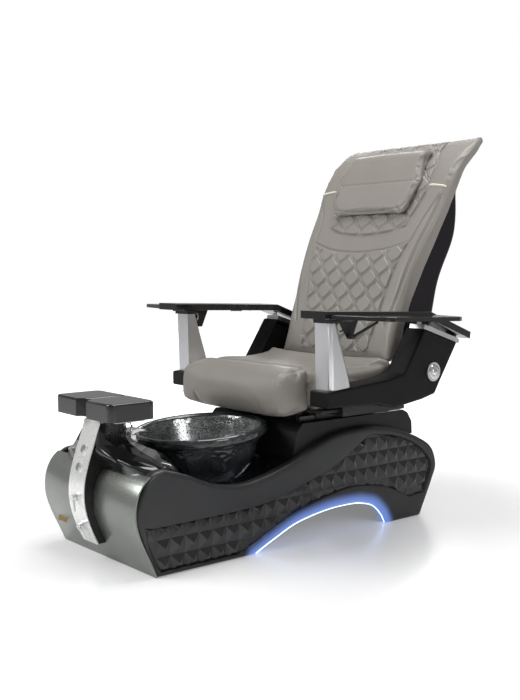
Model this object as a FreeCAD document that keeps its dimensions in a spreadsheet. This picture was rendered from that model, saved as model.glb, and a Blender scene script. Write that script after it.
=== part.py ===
"""Pedicure spa chair: a foot-bath base, a sliding reclining seat, lift-up arms and fold-down trays.

Lengths are in millimetres. +Z is up, the sitter faces -Y and the sitter's left is +X. Outlines are
drawn with Y counted from the base's front bottom edge, and every Placement takes the setback away,
so the origin is on the floor under the middle of the chair.
"""
import FreeCAD, Part, Sketcher
import math
import os

from FreeCAD import Placement, Rotation, Vector

SIZES = (
    ("setback", 710, "front bottom edge of the base to the middle of the chair"),
    ("base_half_width", 300, "middle to the outer face of a side panel"),
    ("panel_thick", 34, "thickness of a side panel"),
    ("skin", 6, "fibreglass and sheet covers"),
    ("inlay_recess", 5, "depth of the recess for the patterned inlay"),
    ("inlay_thick", 4, "thickness of the patterned inlay"),
    ("lamp_radius", 3, "light strip under the arch"),
    ("foot_height", 115, "underside of the base frame above the floor"),
    ("frame_tube", 40, "square tube of the base frame"),
    ("bowl_across", 383, "front bottom edge to the middle of the foot bowl"),
    ("bowl_height", 411, "rim of the foot bowl above the floor"),
    ("bowl_radius", 240, "foot bowl at its rim"),
    ("bowl_depth", 190, "rim to the underside of the foot bowl"),
    ("drain_radius", 18, "drain hole of the bowl"),
    ("face_width", 100, "column faceplate"),
    ("face_thick", 3, "column faceplate sheet"),
    ("button_radius", 14, "push button"),
    ("button_gap", 0.4, "clearance round a push button or lever stem"),
    ("stem_radius", 8, "stem of a valve lever"),
    ("mast_across", 10, "front bottom edge to the middle of the footrest mast"),
    ("mast_width", 40, "square mast of the footrest"),
    ("sleeve_width", 50, "square sleeve that guides the mast"),
    ("pad_thick", 60, "footrest pad"),
    ("pad_height", 490, "underside of the footrest pads"),
    ("deck_top", 425, "top of the plinth behind the bowl"),
    ("rail_width", 24, "slide rail"),
    ("rail_tall", 18, "slide rail"),
    ("rail_spread", 215, "middle of the chair to a slide rail"),
    ("slide_gap", 0.5, "clearance between a rail and its runner"),
    ("screw_radius", 7, "lead screw of the seat slide"),
    ("fit_gap", 0.05, "radial clearance of a running fit"),
    ("seat_half_width", 358, "rear part of the seat cushion"),
    ("nose_half_width", 298, "front part of the seat cushion"),
    ("shell_inside", 372, "middle to the inner face of an arm shell"),
    ("shell_width", 90, "width of an arm shell"),
    ("shell_wall", 5, "wall of an arm shell"),
    ("pivot_across", 1116, "front bottom edge to the recline axis"),
    ("pivot_height", 596, "recline axis above the floor"),
    ("pivot_radius", 8, "recline pin"),
    ("cap_radius", 35.5, "cover disc of a recline pin"),
    ("arm_inside", 368, "middle to the inner edge of an armrest"),
    ("arm_width", 122, "width of an armrest"),
    ("hinge_across", 1268, "front bottom edge to the armrest's lift axis"),
    ("hinge_height", 703, "armrest's lift axis above the floor"),
    ("hinge_pin", 5, "radius of the armrest's lift pin"),
    ("arm_front", 540, "front bottom edge to the front of the armrest"),
    ("arm_under", 811, "underside of the armrest at its front"),
    ("arm_tilt", 1.757, "fall of the armrest towards the back, in degrees"),
    ("tray_inside", 492.5, "middle to the inner edge of a tray"),
    ("tray_thick", 14.5, "thickness of a tray"),
    ("tray_pin", 2, "radius of a tray's hinge pin"),
    ("stay_pin", 3, "radius of the pin at the foot of a tray stay"),
    ("back_half_width", 366, "back cushion at its widest"),
    ("back_shell_half_width", 300, "moulded shell behind the back cushion"),
    ("rod_radius", 6, "rod of the recline actuator"),
    ("lug_across", 60, "middle of the chair to the lug that the actuator pushes"),
    ("lug_drop", 156, "recline axis to the pin that the actuator pushes"),
)

doc = FreeCAD.newDocument("pedicure_spa_chair")
sheet = doc.addObject("Spreadsheet::Sheet", "Sizes")
for row, (alias, value, meaning) in enumerate(SIZES, start=1):
    sheet.set("A%d" % row, meaning)
    sheet.set("B%d" % row, str(value))
    sheet.setAlias("B%d" % row, alias)
doc.recompute()

subparts = []


def size(alias):
    """The driving dimension with this alias, as a number."""
    return float(getattr(sheet, alias))


# ---------------------------------------------------------------------------------------------
# Ways of making a piece


def bind(item, **expressions):
    """Ties properties of an object to expressions or plain numbers."""
    for name, expression in expressions.items():
        item.setExpression(name, str(expression))
    return item


def place(item, x=0, y=0, z=0, turn=None):
    """Sets where an object lies in its own group; x, y and z may be expressions."""
    item.Placement = Placement(Vector(), turn or Rotation())
    for letter, value in (("x", x), ("y", y), ("z", z)):
        item.setExpression("Placement.Base." + letter, str(value))
    return item


def subpart(item, label, x=0, y=0, z=0, turn=None):
    """Names a finished piece and puts it in its place; y counts from the base's front edge."""
    item.Label = label
    subparts.append(item)
    return place(item, x, "%s - Sizes.setback" % y, z, turn)


def block(dx, dy, dz, x, y, z):
    """A box of dx by dy by dz, centred on x and y and standing on z, in its own group's frame."""
    box = doc.addObject("Part::Box", "block")
    bind(box, Length=dx, Width=dy, Height=dz)
    return place(box, "%s - (%s) / 2" % (x, dx), "%s - (%s) / 2" % (y, dy), z)


def bar(radius, length, start, along=(0, 0, 1)):
    """A round bar from the point start, in the direction along."""
    cylinder = doc.addObject("Part::Cylinder", "bar")
    bind(cylinder, Radius=radius, Height=length)
    cylinder.Placement = Placement(Vector(*start), Rotation(Vector(0, 0, 1), Vector(*along)))
    return cylinder


def joined(pieces):
    """Pieces welded into one solid."""
    fuse = doc.addObject("Part::MultiFuse", "joined")
    fuse.Shapes = pieces
    fuse.Refine = True
    return fuse


def grouped(pieces):
    """Separate solids kept in one node."""
    group = doc.addObject("Part::Compound", "grouped")
    group.Links = pieces
    return group


def shared(pieces):
    """The solid that all the pieces have in common."""
    common = doc.addObject("Part::MultiCommon", "shared")
    common.Shapes = pieces
    return common


def without(base, *tools):
    """A piece with the tools' shapes cut away."""
    cut = doc.addObject("Part::Cut", "cut")
    cut.Base = base
    cut.Tool = joined(list(tools)) if len(tools) > 1 else tools[0]
    return cut


def new_body(name):
    """An empty PartDesign body."""
    return doc.addObject("PartDesign::Body", name)


def new_sketch(body, role, lift=0):
    """A sketch on one of the body's own origin planes, lifted along the plane's normal."""
    sketch = body.newObject("Sketcher::SketchObject", "outline")
    plane = next(item for item in body.Origin.OriginFeatures if item.Role == role)
    sketch.AttachmentSupport = [(plane, "")]
    sketch.MapMode = "FlatFace"
    sketch.AttachmentOffset = Placement(Vector(0, 0, lift), Rotation())
    return sketch


def draw(sketch, *stretches):
    """Draws a closed outline of ("line", points) and ("curve", points) stretches, end to end."""
    first = last = stretches[0][1][0]
    for kind, points in stretches:
        chain = [last] + [point for point in points if point != last]
        if kind == "curve":
            spline = Part.BSplineCurve()
            spline.interpolate([Vector(u, v, 0) for u, v in chain])
            sketch.addGeometry(spline)
        else:
            for one, two in zip(chain, chain[1:]):
                sketch.addGeometry(Part.LineSegment(Vector(*one, 0), Vector(*two, 0)))
        last = chain[-1]
    if last != first:
        sketch.addGeometry(Part.LineSegment(Vector(*last, 0), Vector(*first, 0)))
    return sketch


def draw_circle(sketch, u, v, radius):
    """A circle whose radius is bound to an expression."""
    circle = sketch.addGeometry(Part.Circle(Vector(u, v, 0), Vector(0, 0, 1), 1))
    constraint = sketch.addConstraint(Sketcher.Constraint("Radius", circle, 1))
    sketch.setExpression("Constraints[%d]" % constraint, str(radius))
    return sketch


def pad(body, sketch, length, way="both"):
    """Raises an outline by length: both ways from its plane, up its normal, or down."""
    feature = body.newObject("PartDesign::Pad", "pad")
    feature.Profile = sketch
    bind(feature, Length=length)
    feature.SideType = "Symmetric" if way == "both" else "One side"
    feature.Reversed = way == "down"
    doc.recompute()
    return feature


def pocket(body, sketch, length, way="both"):
    """Cuts an outline away by length, and checks that the cut took something off."""
    before = body.Shape.Volume
    feature = body.newObject("PartDesign::Pocket", "pocket")
    feature.Profile = sketch
    bind(feature, Length=length)
    feature.SideType = "Symmetric" if way == "both" else "One side"
    feature.Reversed = way == "up"
    doc.recompute()
    assert body.Shape.Volume < before, body.Label
    return feature


def revolve(name, *stretches):
    """A body turned round Z from an outline of (radius, height) points."""
    body = new_body(name)
    sketch = draw(new_sketch(body, "XZ_Plane"), *stretches)
    feature = body.newObject("PartDesign::Revolution", "turned")
    feature.Profile = sketch
    feature.ReferenceAxis = (sketch, ["V_Axis"])
    doc.recompute()
    return body


def prism(name, length, *stretches, plane="YZ_Plane", way="both"):
    """A body padded from one outline."""
    body = new_body(name)
    pad(body, draw(new_sketch(body, plane), *stretches), length, way)
    return body


def round_edges(body, radius, test):
    """Rounds the edges that pass the test."""
    names = ["Edge%d" % (i + 1) for i, edge in enumerate(body.Shape.Edges) if test(edge)]
    solid = body.Tip
    fillet = body.newObject("PartDesign::Fillet", "rounding")
    fillet.Base = (solid, names)
    bind(fillet, Radius=radius)
    doc.recompute()
    assert "Invalid" not in fillet.State, (body.Label, names)
    return body


def is_along(letter):
    """A test for straight edges that run along one axis."""
    def test(edge):
        box = edge.BoundBox
        spans = {"x": box.XLength, "y": box.YLength, "z": box.ZLength}
        return spans.pop(letter) > 1 and max(spans.values()) < 0.01
    return test


def shifted(points, distance):
    """An open line's points moved sideways, to the right of its direction."""
    moved = []
    for i, (u, v) in enumerate(points):
        before, after = points[max(i - 1, 0)], points[min(i + 1, len(points) - 1)]
        du, dv = after[0] - before[0], after[1] - before[1]
        length = math.hypot(du, dv)
        moved.append((u + distance * dv / length, v - distance * du / length))
    return moved


def traced(points, count):
    """Evenly spaced points on the smooth curve through an outline's points."""
    curve = Part.BSplineCurve()
    curve.interpolate([Vector(u, v, 0) for u, v in points])
    return [(point.x, point.y) for point in curve.discretize(count)]


def inset(points, distance):
    """A closed clockwise outline's points moved inwards by the same distance from every side."""
    moved = []
    for i, (u, v) in enumerate(points):
        before, after = points[i - 1], points[(i + 1) % len(points)]
        heading = math.atan2(v - before[1], u - before[0])
        turn = math.remainder(math.atan2(after[1] - v, after[0] - u) - heading, math.tau)
        middle, reach = heading + turn / 2, distance / math.cos(turn / 2)
        moved.append((u + reach * math.sin(middle), v - reach * math.cos(middle)))
    return moved


def skin(points, thick):
    """The two stretches of a sheet that follows a curve."""
    inner = shifted(points, thick)
    return ("curve", points), ("line", [points[-1], inner[-1]]), ("curve", inner[::-1])


def hose(points, radius):
    """A bent round hose through the points, each corner an arc as large as its runs allow."""
    corners = [Vector(*point) for point in points]
    edges, last = [], corners[0]
    for before, corner, after in zip(corners, corners[1:], corners[2:]):
        back, on = (before - corner), (after - corner)
        reach = 0.45 * min(back.Length, on.Length)
        start = corner + back.normalize() * reach
        end = corner + on.normalize() * reach
        half = start.sub(corner).getAngle(end.sub(corner)) / 2
        bend = reach * math.tan(half)
        centre = corner + (start + end - corner * 2).normalize() * math.hypot(reach, bend)
        middle = centre + (corner - centre).normalize() * bend
        edges += [Part.makeLine(last, start), Part.Arc(start, middle, end).toShape()]
        last = end
    edges.append(Part.makeLine(last, corners[-1]))
    circle = Part.makeCircle(radius, corners[0], corners[1] - corners[0])
    tube = doc.addObject("Part::Feature", "hose")
    tube.Shape = Part.Wire(edges).makePipeShell([Part.Wire(circle)], True, False)
    return tube


SIDES = (("left", 1), ("right", -1))


# ---------------------------------------------------------------------------------------------
# Base: side panels, covers and frame. Outlines are (Y, Z) seen from the sitter's left.

NOSE = [(0, 0), (-50, 108), (-78, 212), (-42, 311)]
CREST = [(28, 344), (122, 315), (242, 266), (378, 254), (554, 294), (699, 349), (798, 377),
         (936, 387), (1047, 376), (1122, 358)]
TAIL = [(1239, 313), (1312, 267), (1339, 195), (1315, 131), (1246, 0)]
ARCH = [(1050, 0), (1028, 40), (984, 81), (935, 98), (876, 107), (748, 105), (602, 82), (500, 45), (395, 0)]
DECK = [(-42, 311), (28, 334), (122, 300), (242, 254), (378, 242), (554, 282), (596, 299)]
INLAY_TOP = [(-46, 170), (0, 163), (190, 164), (351, 167), (478, 178), (620, 214), (765, 258),
             (853, 302), (940, 352)]
INLAY_REAR = [(974, 357), (1085, 339), (1200, 299), (1281, 238), (1302, 187), (1262, 92)]
INLAY_FOOT = [(1173, 87), (1049, 143), (905, 168), (798, 164), (667, 140), (552, 104), (417, 47),
              (330, 14)]
FACE = [(-70, 65), (-100, 130), (-122, 215), (-120, 280), (-93, 376), (-59, 480)]


def inlay_outline(clearance=0.0):
    """The patterned field of a side panel, drawn smaller by a clearance all round."""
    top, rear = shifted(INLAY_TOP, clearance), shifted(INLAY_REAR, clearance)
    foot = shifted(INLAY_FOOT, clearance)
    return (("curve", top), ("line", [top[-1], rear[0]]), ("curve", rear),
            ("line", [rear[-1], foot[0]]), ("curve", foot),
            ("line", [foot[-1], (14 + clearance, 14 + clearance)]))


def side_panel(label, side):
    """A moulded side panel with the arch in its foot and a recess for the inlay."""
    body = prism(label, "Sizes.panel_thick", ("curve", NOSE + CREST + TAIL), ("line", [ARCH[0]]),
                 ("curve", ARCH), ("line", [NOSE[0]]), way="down" if side > 0 else "up")
    recess = draw(new_sketch(body, "YZ_Plane"), *inlay_outline())
    pocket(body, recess, "Sizes.inlay_recess", "down" if side > 0 else "up")
    subpart(body, label, x="%d * Sizes.base_half_width" % side)


def panel_inlays():
    """The two patterned inlays that lie in the recesses of the panels."""
    plates = []
    for label, side in SIDES:
        plate = prism("inlay", "Sizes.inlay_thick", *inlay_outline(0.5), way="up" if side > 0 else "down")
        plates.append(place(plate, "%d * (Sizes.base_half_width - Sizes.inlay_recess)" % side))
    subpart(grouped(plates), "panel_inlays")


def led_strips():
    """A light strip along the inner edge of each arch."""
    strips = []
    line = shifted(ARCH[1:-1], -4)
    for label, side in SIDES:
        strip = prism("strip", "2 * Sizes.lamp_radius", *skin(line, -5), way="down" if side > 0 else "up")
        strips.append(place(strip, "%d * (Sizes.base_half_width - Sizes.panel_thick)" % side))
    subpart(grouped(strips), "led_strips")


INSIDE_WIDTH = "2 * (Sizes.base_half_width - Sizes.panel_thick)"


DRUM = [(-6, 1)] + shifted(NOSE + [(-24, 324)], -5.5)[1:]


def front_drum():
    """The rolled metal front that laps the front edges of the side panels."""
    subpart(prism("front_drum", "2 * Sizes.base_half_width - 6", *skin(DRUM, 5)), "front_drum")


def tub_deck():
    """The moulded deck that dips under the bowl, with holes for the bowl and the column."""
    body = prism("tub_deck", INSIDE_WIDTH, *skin(DECK, size("skin")))
    hole = draw_circle(new_sketch(body, "XY_Plane"), 0, size("bowl_across") + 11, "Sizes.bowl_radius - 60")
    pocket(body, hole, 1000)
    column = draw(new_sketch(body, "XY_Plane"), ("line", [(-80, -19), (80, -19), (80, 60), (-80, 60)]))
    pocket(body, column, 1000)
    subpart(body, "tub_deck")


def rear_cover():
    """The cover between the side panels at the back, with a hole for the mains inlet."""
    line = shifted([(1228, 318)] + TAIL[1:], 14)
    body = prism("rear_cover", INSIDE_WIDTH, *skin(line, size("skin")))
    hole = draw(new_sketch(body, "XZ_Plane"), ("line", [(-190, 160), (-150, 160), (-150, 190), (-190, 190)]))
    pocket(body, hole, 4000)
    subpart(body, "rear_cover")


def mains_inlet():
    """The inlet socket behind the hole in the rear cover."""
    shell = block(38, 26, 28, -170, 1306, 161)
    recess = block(26, 18, 18, -170, 1314, 166)
    pins = [block(2, 14, 5, -170 + step, 1312, 172.5) for step in (-7, 0, 7)]
    subpart(joined([without(shell, recess)] + pins), "mains_inlet")


def plinth_cover():
    """The moulded plinth behind the bowl that carries the slide rails."""
    top = size("deck_top")
    outline = [(602, 304), (622, 395), (650, top), (1180, top), (1205, top - 12), (1230, 375), (1233, 326),
               (1100, 326), (1100, 250), (602, 250)]
    body = prism("plinth_cover", "2 * 260", ("line", outline))
    hollow = [(608, 200), (608, 306), (627, 391), (653, top - 6), (1178, top - 6), (1201, top - 17), (1224, 374),
              (1227, 200)]
    pocket(body, draw(new_sketch(body, "YZ_Plane"), ("line", hollow)), "2 * (260 - Sizes.skin)")
    pocket(body, draw_circle(new_sketch(body, "XZ_Plane"), 0, 340, 42), "2 * 645")
    slot = draw(new_sketch(body, "XY_Plane"), ("line", [(-18, 650), (18, 650), (18, 870), (-18, 870)]))
    pocket(body, slot, 2000)
    subpart(body, "plinth_cover")


def base_frame():
    """The welded tube frame under the covers."""
    pieces = []
    for side in (1, -1):
        pieces.append(block("Sizes.frame_tube", 1110, "Sizes.frame_tube", side * 215, 665, "Sizes.foot_height"))
        for along in (130, 1195):
            pieces.append(block("Sizes.frame_tube", "Sizes.frame_tube", 95, side * 215, along, 22))
        for along in (700, 1120):
            pieces.append(block(30, 30, 265, side * 215, along, 154))
    for along in (130, 590, 1195):
        pieces.append(block(430, "Sizes.frame_tube", "Sizes.frame_tube", 0, along, "Sizes.foot_height"))
    pieces.append(block("Sizes.frame_tube", 480, 10, 70, 360, "Sizes.foot_height + 30"))
    subpart(joined(pieces), "base_frame")


def levelling_feet():
    """Four screw feet under the frame."""
    feet = []
    for x in (-215, 215):
        for y in (130, 1195):
            profile = [(0, 0), (22, 0), (22, 5), (12, 10), (5, 12), (5, 22), (0, 22)]
            feet.append(place(revolve("foot", ("line", profile)), x, y))
    subpart(grouped(feet), "levelling_feet")


# ---------------------------------------------------------------------------------------------
# Column: faceplate, controls and footrest

FLARE = ((304, 264, -38, 148), (345, 262, -52, 138), (365, 225, -60, 122), (385, 165, -70, 84),
         (405, 110, -80, 58), (425, 78, -86, 47), (470, 60, -62, 46))


def station(outline, height):
    """An outline's Y at a height and the upward tilt of its outward normal, in degrees."""
    curve = Part.BSplineCurve()
    curve.interpolate([Vector(u, v, 0) for u, v in outline])
    low, high = curve.FirstParameter, curve.LastParameter
    while high - low > 1e-9:
        middle = (low + high) / 2
        low, high = (middle, high) if curve.value(middle).y < height else (low, middle)
    way = curve.tangent(low)[0]
    return curve.value(low).x, math.degrees(math.atan2(way.x, way.y))


CONTROLS = (("jet_button", 383), ("drain_button", 326), ("hot_lever", 227), ("cold_lever", 129))


def face_bar(height, radius, start, length):
    """A round bar along the faceplate's normal, from start behind or before its surface."""
    across, tilt = station(FACE, height)
    turn = math.radians(tilt)
    out = (0, -math.cos(turn), math.sin(turn))
    return bar(radius, length, (0, across + out[1] * start, height + out[2] * start), out)


def column_faceplate():
    """The bowed metal faceplate with raised rings round its controls."""
    plate = prism("faceplate", "Sizes.face_width", *skin(FACE, size("face_thick")))
    round_edges(plate, 8, lambda edge: edge.BoundBox.YLength < 4 and edge.BoundBox.ZLength < 4
                and edge.BoundBox.XLength < 1)
    rings, holes = [], []
    for label, height in CONTROLS:
        radius = "Sizes.%s_radius" % ("button" if label.endswith("button") else "stem")
        rings.append(face_bar(height, radius + " + 6", -1, 3.5))
        holes.append(face_bar(height, radius + " + Sizes.button_gap", -8, 24))
    subpart(without(joined([plate] + rings), *holes), "column_faceplate")


def flared_neck():
    """The casing's flared neck as a loft of rounded sections."""
    body = new_body("neck")
    sketches = []
    for height, half, front, rear in FLARE:
        corner = 0.35 * half
        points = [(-half, front + corner), (-half + corner, front), (half - corner, front),
                  (half, front + corner), (half, rear - corner), (half - corner, rear),
                  (-half + corner, rear), (-half, rear - corner)]
        sketches.append(draw(new_sketch(body, "XY_Plane", height), ("line", points)))
    loft = body.newObject("PartDesign::AdditiveLoft", "flare")
    loft.Profile = sketches[0]
    loft.Sections = sketches[1:]
    loft.Ruled = True
    doc.recompute()
    return body


def column_casing():
    """The black casing behind the faceplate, spreading into a saddle on the deck."""
    fin = prism("fin", "Sizes.face_width - 12", ("curve", shifted(FACE, size("face_thick") + 0.5)),
                ("line", [(20, 470), (10, 330), (-30, 230), (-10, 150), (-10, 70)]))
    deck = [point for point in traced(DECK, 160) if -15 < point[0] < 242]
    floor = shifted(traced(DRUM, 24), -1) + shifted(deck, -1)
    front = prism("front", "Sizes.face_width + 60", ("curve", shifted(FACE, size("face_thick") + 0.3)),
                  ("line", [(-200, 480), (-200, 65)]))
    under = prism("under", 640, ("line", floor + [(242, -20)]))
    hollows = [block(400, 146, 68, 0, 35, 290), block(100, 88, 130, 0, -7, 350)]
    wells = []
    for label, height in CONTROLS:
        wells.append(face_bar(height, 17 if label.endswith("button") else 10, -26, 40))
    wells.append(bar(7.5, 60, (*SPOUT_FEED, 360)))
    hole = block("Sizes.sleeve_width + 4", "Sizes.sleeve_width + 4", 400, 0, size("mast_across"), 200)
    subpart(without(joined([fin, flared_neck()]), under, front, hole, *hollows, *wells), "column_casing")


def push_button(label, height):
    """A domed push button that travels along the faceplate's normal."""
    button = joined([face_bar(height, "Sizes.button_radius", -10, 15),
                     face_bar(height, "Sizes.button_radius - 3", 4, 2.5)])
    subpart(button, label)


def valve_lever(label, height, drop):
    """A valve lever: stem, hub and a tapered handle that hangs at an angle."""
    across, tilt = station(FACE, height)
    hub = joined([face_bar(height, "Sizes.stem_radius", -20, 30), face_bar(height, 12, 5, 14)])
    handle = doc.addObject("Part::Cone", "handle")
    bind(handle, Radius1=6, Radius2=4, Height=46)
    turn = math.radians(tilt)
    side = math.radians(drop)
    up = (math.sin(side), math.sin(turn) * math.cos(side), math.cos(turn) * math.cos(side))
    start = Vector(0, across - 12 * math.cos(turn), height + 12 * math.sin(turn))
    handle.Placement = Placement(start, Rotation(Vector(0, 0, 1), Vector(*up)))
    subpart(joined([hub, handle]), label)


def column_sleeve():
    """The square steel sleeve that guides the footrest mast."""
    across = size("mast_across")
    outside = block("Sizes.sleeve_width", "Sizes.sleeve_width", 345, 0, across, 125)
    inside = block("Sizes.mast_width + 2", "Sizes.mast_width + 2", 400, 0, across, 129)
    subpart(without(outside, inside), "column_sleeve")


def footrest_mast():
    """The square mast with the cross plate that carries the pads."""
    across = size("mast_across")
    tube = block("Sizes.mast_width", "Sizes.mast_width", 333, 0, across, 148)
    plate = block(290, 110, 9, 0, 0, 481)
    subpart(joined([tube, plate]), "footrest_mast")


def footrest_pad(label, side):
    """One pad of the footrest, cut away at its inner front corner."""
    points = [(5, 76), (180, 76), (180, -98), (34, -100), (5, -62)]
    body = prism(label, "Sizes.pad_thick", ("line", [(side * u, v) for u, v in points]),
                 plane="XY_Plane", way="up")
    round_edges(body, 24, lambda edge: is_along("z")(edge) and abs(edge.BoundBox.Center.x) > 150)
    top = body.Shape.BoundBox.ZMax
    round_edges(body, 7, lambda edge: edge.BoundBox.ZMin > top - 0.01)
    subpart(body, label, z="Sizes.pad_height")


def footrest_latch():
    """The hooked release lever behind the footrest."""
    hook = [(57, 478), (92, 478), (110, 482), (132, 502), (138, 514), (130, 518), (120, 508), (106, 494),
            (88, 488), (57, 488)]
    pivot = bar(4, 14, (-7, 62, 483), (1, 0, 0))
    subpart(joined([prism("latch", 14, ("line", hook[::-1])), pivot]), "footrest_latch", x=60)


# ---------------------------------------------------------------------------------------------
# Foot bath


def foot_bowl():
    """The spun bowl with a rolled rim; it tips towards the front a little."""
    depth, rim = size("bowl_depth"), size("bowl_radius")
    outside = [(115, -depth), (168, -150), (202, -75), (220, -20)]
    inside = [(212, -24), (194, -78), (160, -146), (112, -180)]
    drain = size("drain_radius") + 2
    bowl = revolve("foot_bowl", ("line", [(drain, -depth), outside[0]]), ("curve", outside),
                   ("curve", [outside[-1], (rim - 6, -10), (rim, -3)]),
                   ("curve", [(rim, -3), (rim - 4, 0), (rim - 12, -3)]),
                   ("curve", [(rim - 12, -3), (rim - 22, -10), inside[0]]),
                   ("curve", inside), ("line", [(drain, -182)]))
    subpart(bowl, "foot_bowl", y="Sizes.bowl_across", z="Sizes.bowl_height",
            turn=Rotation(Vector(1, 0, 0), BOWL_TIP))


BOWL_TIP = 4.5


def bowl_drain():
    """The drain's strainer and tailpiece under the bowl."""
    radius, depth = size("drain_radius"), size("bowl_depth")
    profile = [(0, 9.5), (radius + 8, 8.5), (radius + 8, 7), (radius + 1, 7), (radius + 1, -2), (radius + 1, -40),
               (0, -40)]
    body = revolve("bowl_drain", ("line", [(u, v - depth) for u, v in profile]))
    subpart(body, "bowl_drain", y="Sizes.bowl_across", z="Sizes.bowl_height",
            turn=Rotation(Vector(1, 0, 0), BOWL_TIP))


SPOUT_FEED = (44, 66)


def bowl_spout():
    """The waterfall lip at the bowl's front rim, the bail above it and the feed from below."""
    lip = prism("lip", 56, ("line", [(70, 404), (70, 426)]), ("curve", [(70, 426), (104, 433), (152, 419)]),
                ("line", [(152, 412)]), ("curve", [(152, 412), (104, 424), (78, 414)]), ("line", [(78, 404)]))
    bail = hose([(-36, 67, 412), (-36, 72, 436), (-24, 80, 456), (24, 80, 456), (36, 72, 436),
                 (36, 67, 412)], 3.5)
    foot = block(108, 19, 15, 0, 67.5, 403.5)
    subpart(joined([lip, bail, foot, bar(7, 22, (*SPOUT_FEED, 384))]), "bowl_spout")


def jet_motor():
    """The jet motor on the outside of the bowl's rear wall."""
    body = revolve("jet_motor", ("line", [(0, 0), (36, 0), (36, 8), (28, 12), (28, 66), (20, 74), (0, 74)]))
    subpart(body, "jet_motor", y=592, z=338, turn=Rotation(Vector(1, 0, 0), -100))


def drain_pump():
    """The drain pump: a motor lying beside its volute."""
    volute = bar(34, 26, (-20, 250, 82), (1, 0, 0))
    motor = bar(26, 90, (6, 250, 82), (1, 0, 0))
    inlet = bar(9, 30, (-33, 250, 82), (1, 0, 0))
    outlet = bar(9, 40, (-7, 240, 104), (0, -1, 0))
    base = block(120, 50, 8, 30, 250, 42)
    legs = block(70, 30, 16, 45, 250, 48)
    subpart(joined([volute, motor, inlet, outlet, base, legs]), "drain_pump")


def water_hoses():
    """The drain hose to the pump and the supply hose to the spout."""
    drain = hose([(0, 371, 178), (-6, 362, 134), (-60, 318, 98), (-84, 268, 82), (-36.2, 250.8, 82)], 8)
    supply = hose([(52, -31, 252), (68, -31, 252), (68, 24, 288), (50, 50, 330), (44, 66, 356),
                   (*SPOUT_FEED, 384)], 6)
    subpart(grouped([drain, supply]), "water_hoses")


def mixing_valve():
    """The mixing valve behind the two levers."""
    body = block(64, 24, 150, 0, -31, 100)
    ports = [bar(10, 26, (x, -31, 240), (0, 0, 1)) for x in (-20, 20)]
    elbow = bar(8, 30, (22, -31, 252), (1, 0, 0))
    subpart(joined([body, elbow] + ports), "mixing_valve")


def control_box():
    """The control electronics, on the frame's rear cross tube."""
    case = block(180, 110, 60, 60, 1120, 156)
    lid = block(186, 116, 5, 60, 1120, 216)
    subpart(joined([case, lid]), "control_box")


# ---------------------------------------------------------------------------------------------
# Seat carriage


def slide_rails():
    """The two fixed rails on the plinth."""
    rails = [block("Sizes.rail_width", 470, "Sizes.rail_tall", side * size("rail_spread"), 900, "Sizes.deck_top")
             for name, side in SIDES]
    subpart(grouped(rails), "slide_rails")


SCREW_HEIGHT = 385


def slide_motor():
    """The gear motor and lead screw that push the carriage."""
    screw = bar("Sizes.screw_radius", 240, (0, 652, SCREW_HEIGHT), (0, 1, 0))
    gearbox = block(64, 56, 66, 0, 918, SCREW_HEIGHT - 32)
    motor = bar(27, 120, (0, 946, SCREW_HEIGHT), (0, 1, 0))
    foot = block(120, 46, 10, 0, 918, SCREW_HEIGHT - 42)
    subpart(joined([screw, gearbox, motor, foot]), "slide_motor")


RUNNER_FRONT, RUNNER_REAR = 740, 1050


def carriage_frame():
    """Runners over the rails, cross members, outriggers to the arm shells and the screw's nut."""
    top = size("deck_top") + size("rail_tall") + size("slide_gap")
    length, middle = RUNNER_REAR - RUNNER_FRONT, (RUNNER_REAR + RUNNER_FRONT) / 2
    pieces = []
    for name, side in SIDES:
        rail = side * size("rail_spread")
        web = (size("rail_width") / 2 + size("slide_gap") + 1.5)
        pieces.append(block(2 * web + 3, length, 12, rail, middle, top))
        pieces += [block(3, length, 16, rail + step, middle, top - 15) for step in (-web, web)]
        for along in (RUNNER_FRONT + 20, RUNNER_REAR - 20):
            pieces.append(block(150, 30, 8, side * 296, along, top + 10))
        pieces.append(block(9, 320, 96, side * 367.5, middle + 5, top + 10))
        pieces.append(block(20, 20, 27.3, side * 190, 690, top - 4))
    for along in (RUNNER_FRONT + 20, RUNNER_REAR - 20):
        pieces.append(block(460, 30, 11, 0, along, top + 12))
    pieces.append(block(400, 24, 12, 0, 690, top + 11))
    pieces += [block(20, 100, 12, side * 190, 730, top + 11) for side in (1, -1)]
    nut = without(block(34, 30, 34, 0, 780, SCREW_HEIGHT - 17),
                  bar("Sizes.screw_radius + Sizes.fit_gap", 60, (0, 750, SCREW_HEIGHT), (0, 1, 0)))
    pieces += [nut, block(26, 24, 67.8, 0, 780, SCREW_HEIGHT + 14)]
    subpart(joined(pieces), "carriage_frame")


def seat_pan():
    """The plywood pan that carries the cushion."""
    subpart(grouped([block(700, 375, 10, 0, 845, 467)]), "seat_pan")


def seat_cushion():
    """The seat: a wide rear part with a narrower, thicker roll in front."""
    rear = prism("seat_rear", "2 * Sizes.seat_half_width",
                 ("line", [(650, 478), (650, 592)]),
                 ("curve", [(650, 592), (700, 612), (850, 611), (960, 622), (1022, 642)]),
                 ("line", [(1030, 636), (1034, 590), (1034, 478)]))
    front = prism("seat_front", "2 * Sizes.nose_half_width",
                  ("curve", [(640, 462), (540, 456), (500, 478), (497, 560), (522, 612), (600, 628), (655, 628)]),
                  ("line", [(655, 478)]))
    subpart(joined([rear, front]), "seat_cushion")


SHELL = [(582, 505), (582, 560), (889, 584), (962, 598), (1068, 758), (1255, 699), (1129, 512),
         (1060, 497), (914, 478), (822, 500)]


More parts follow.
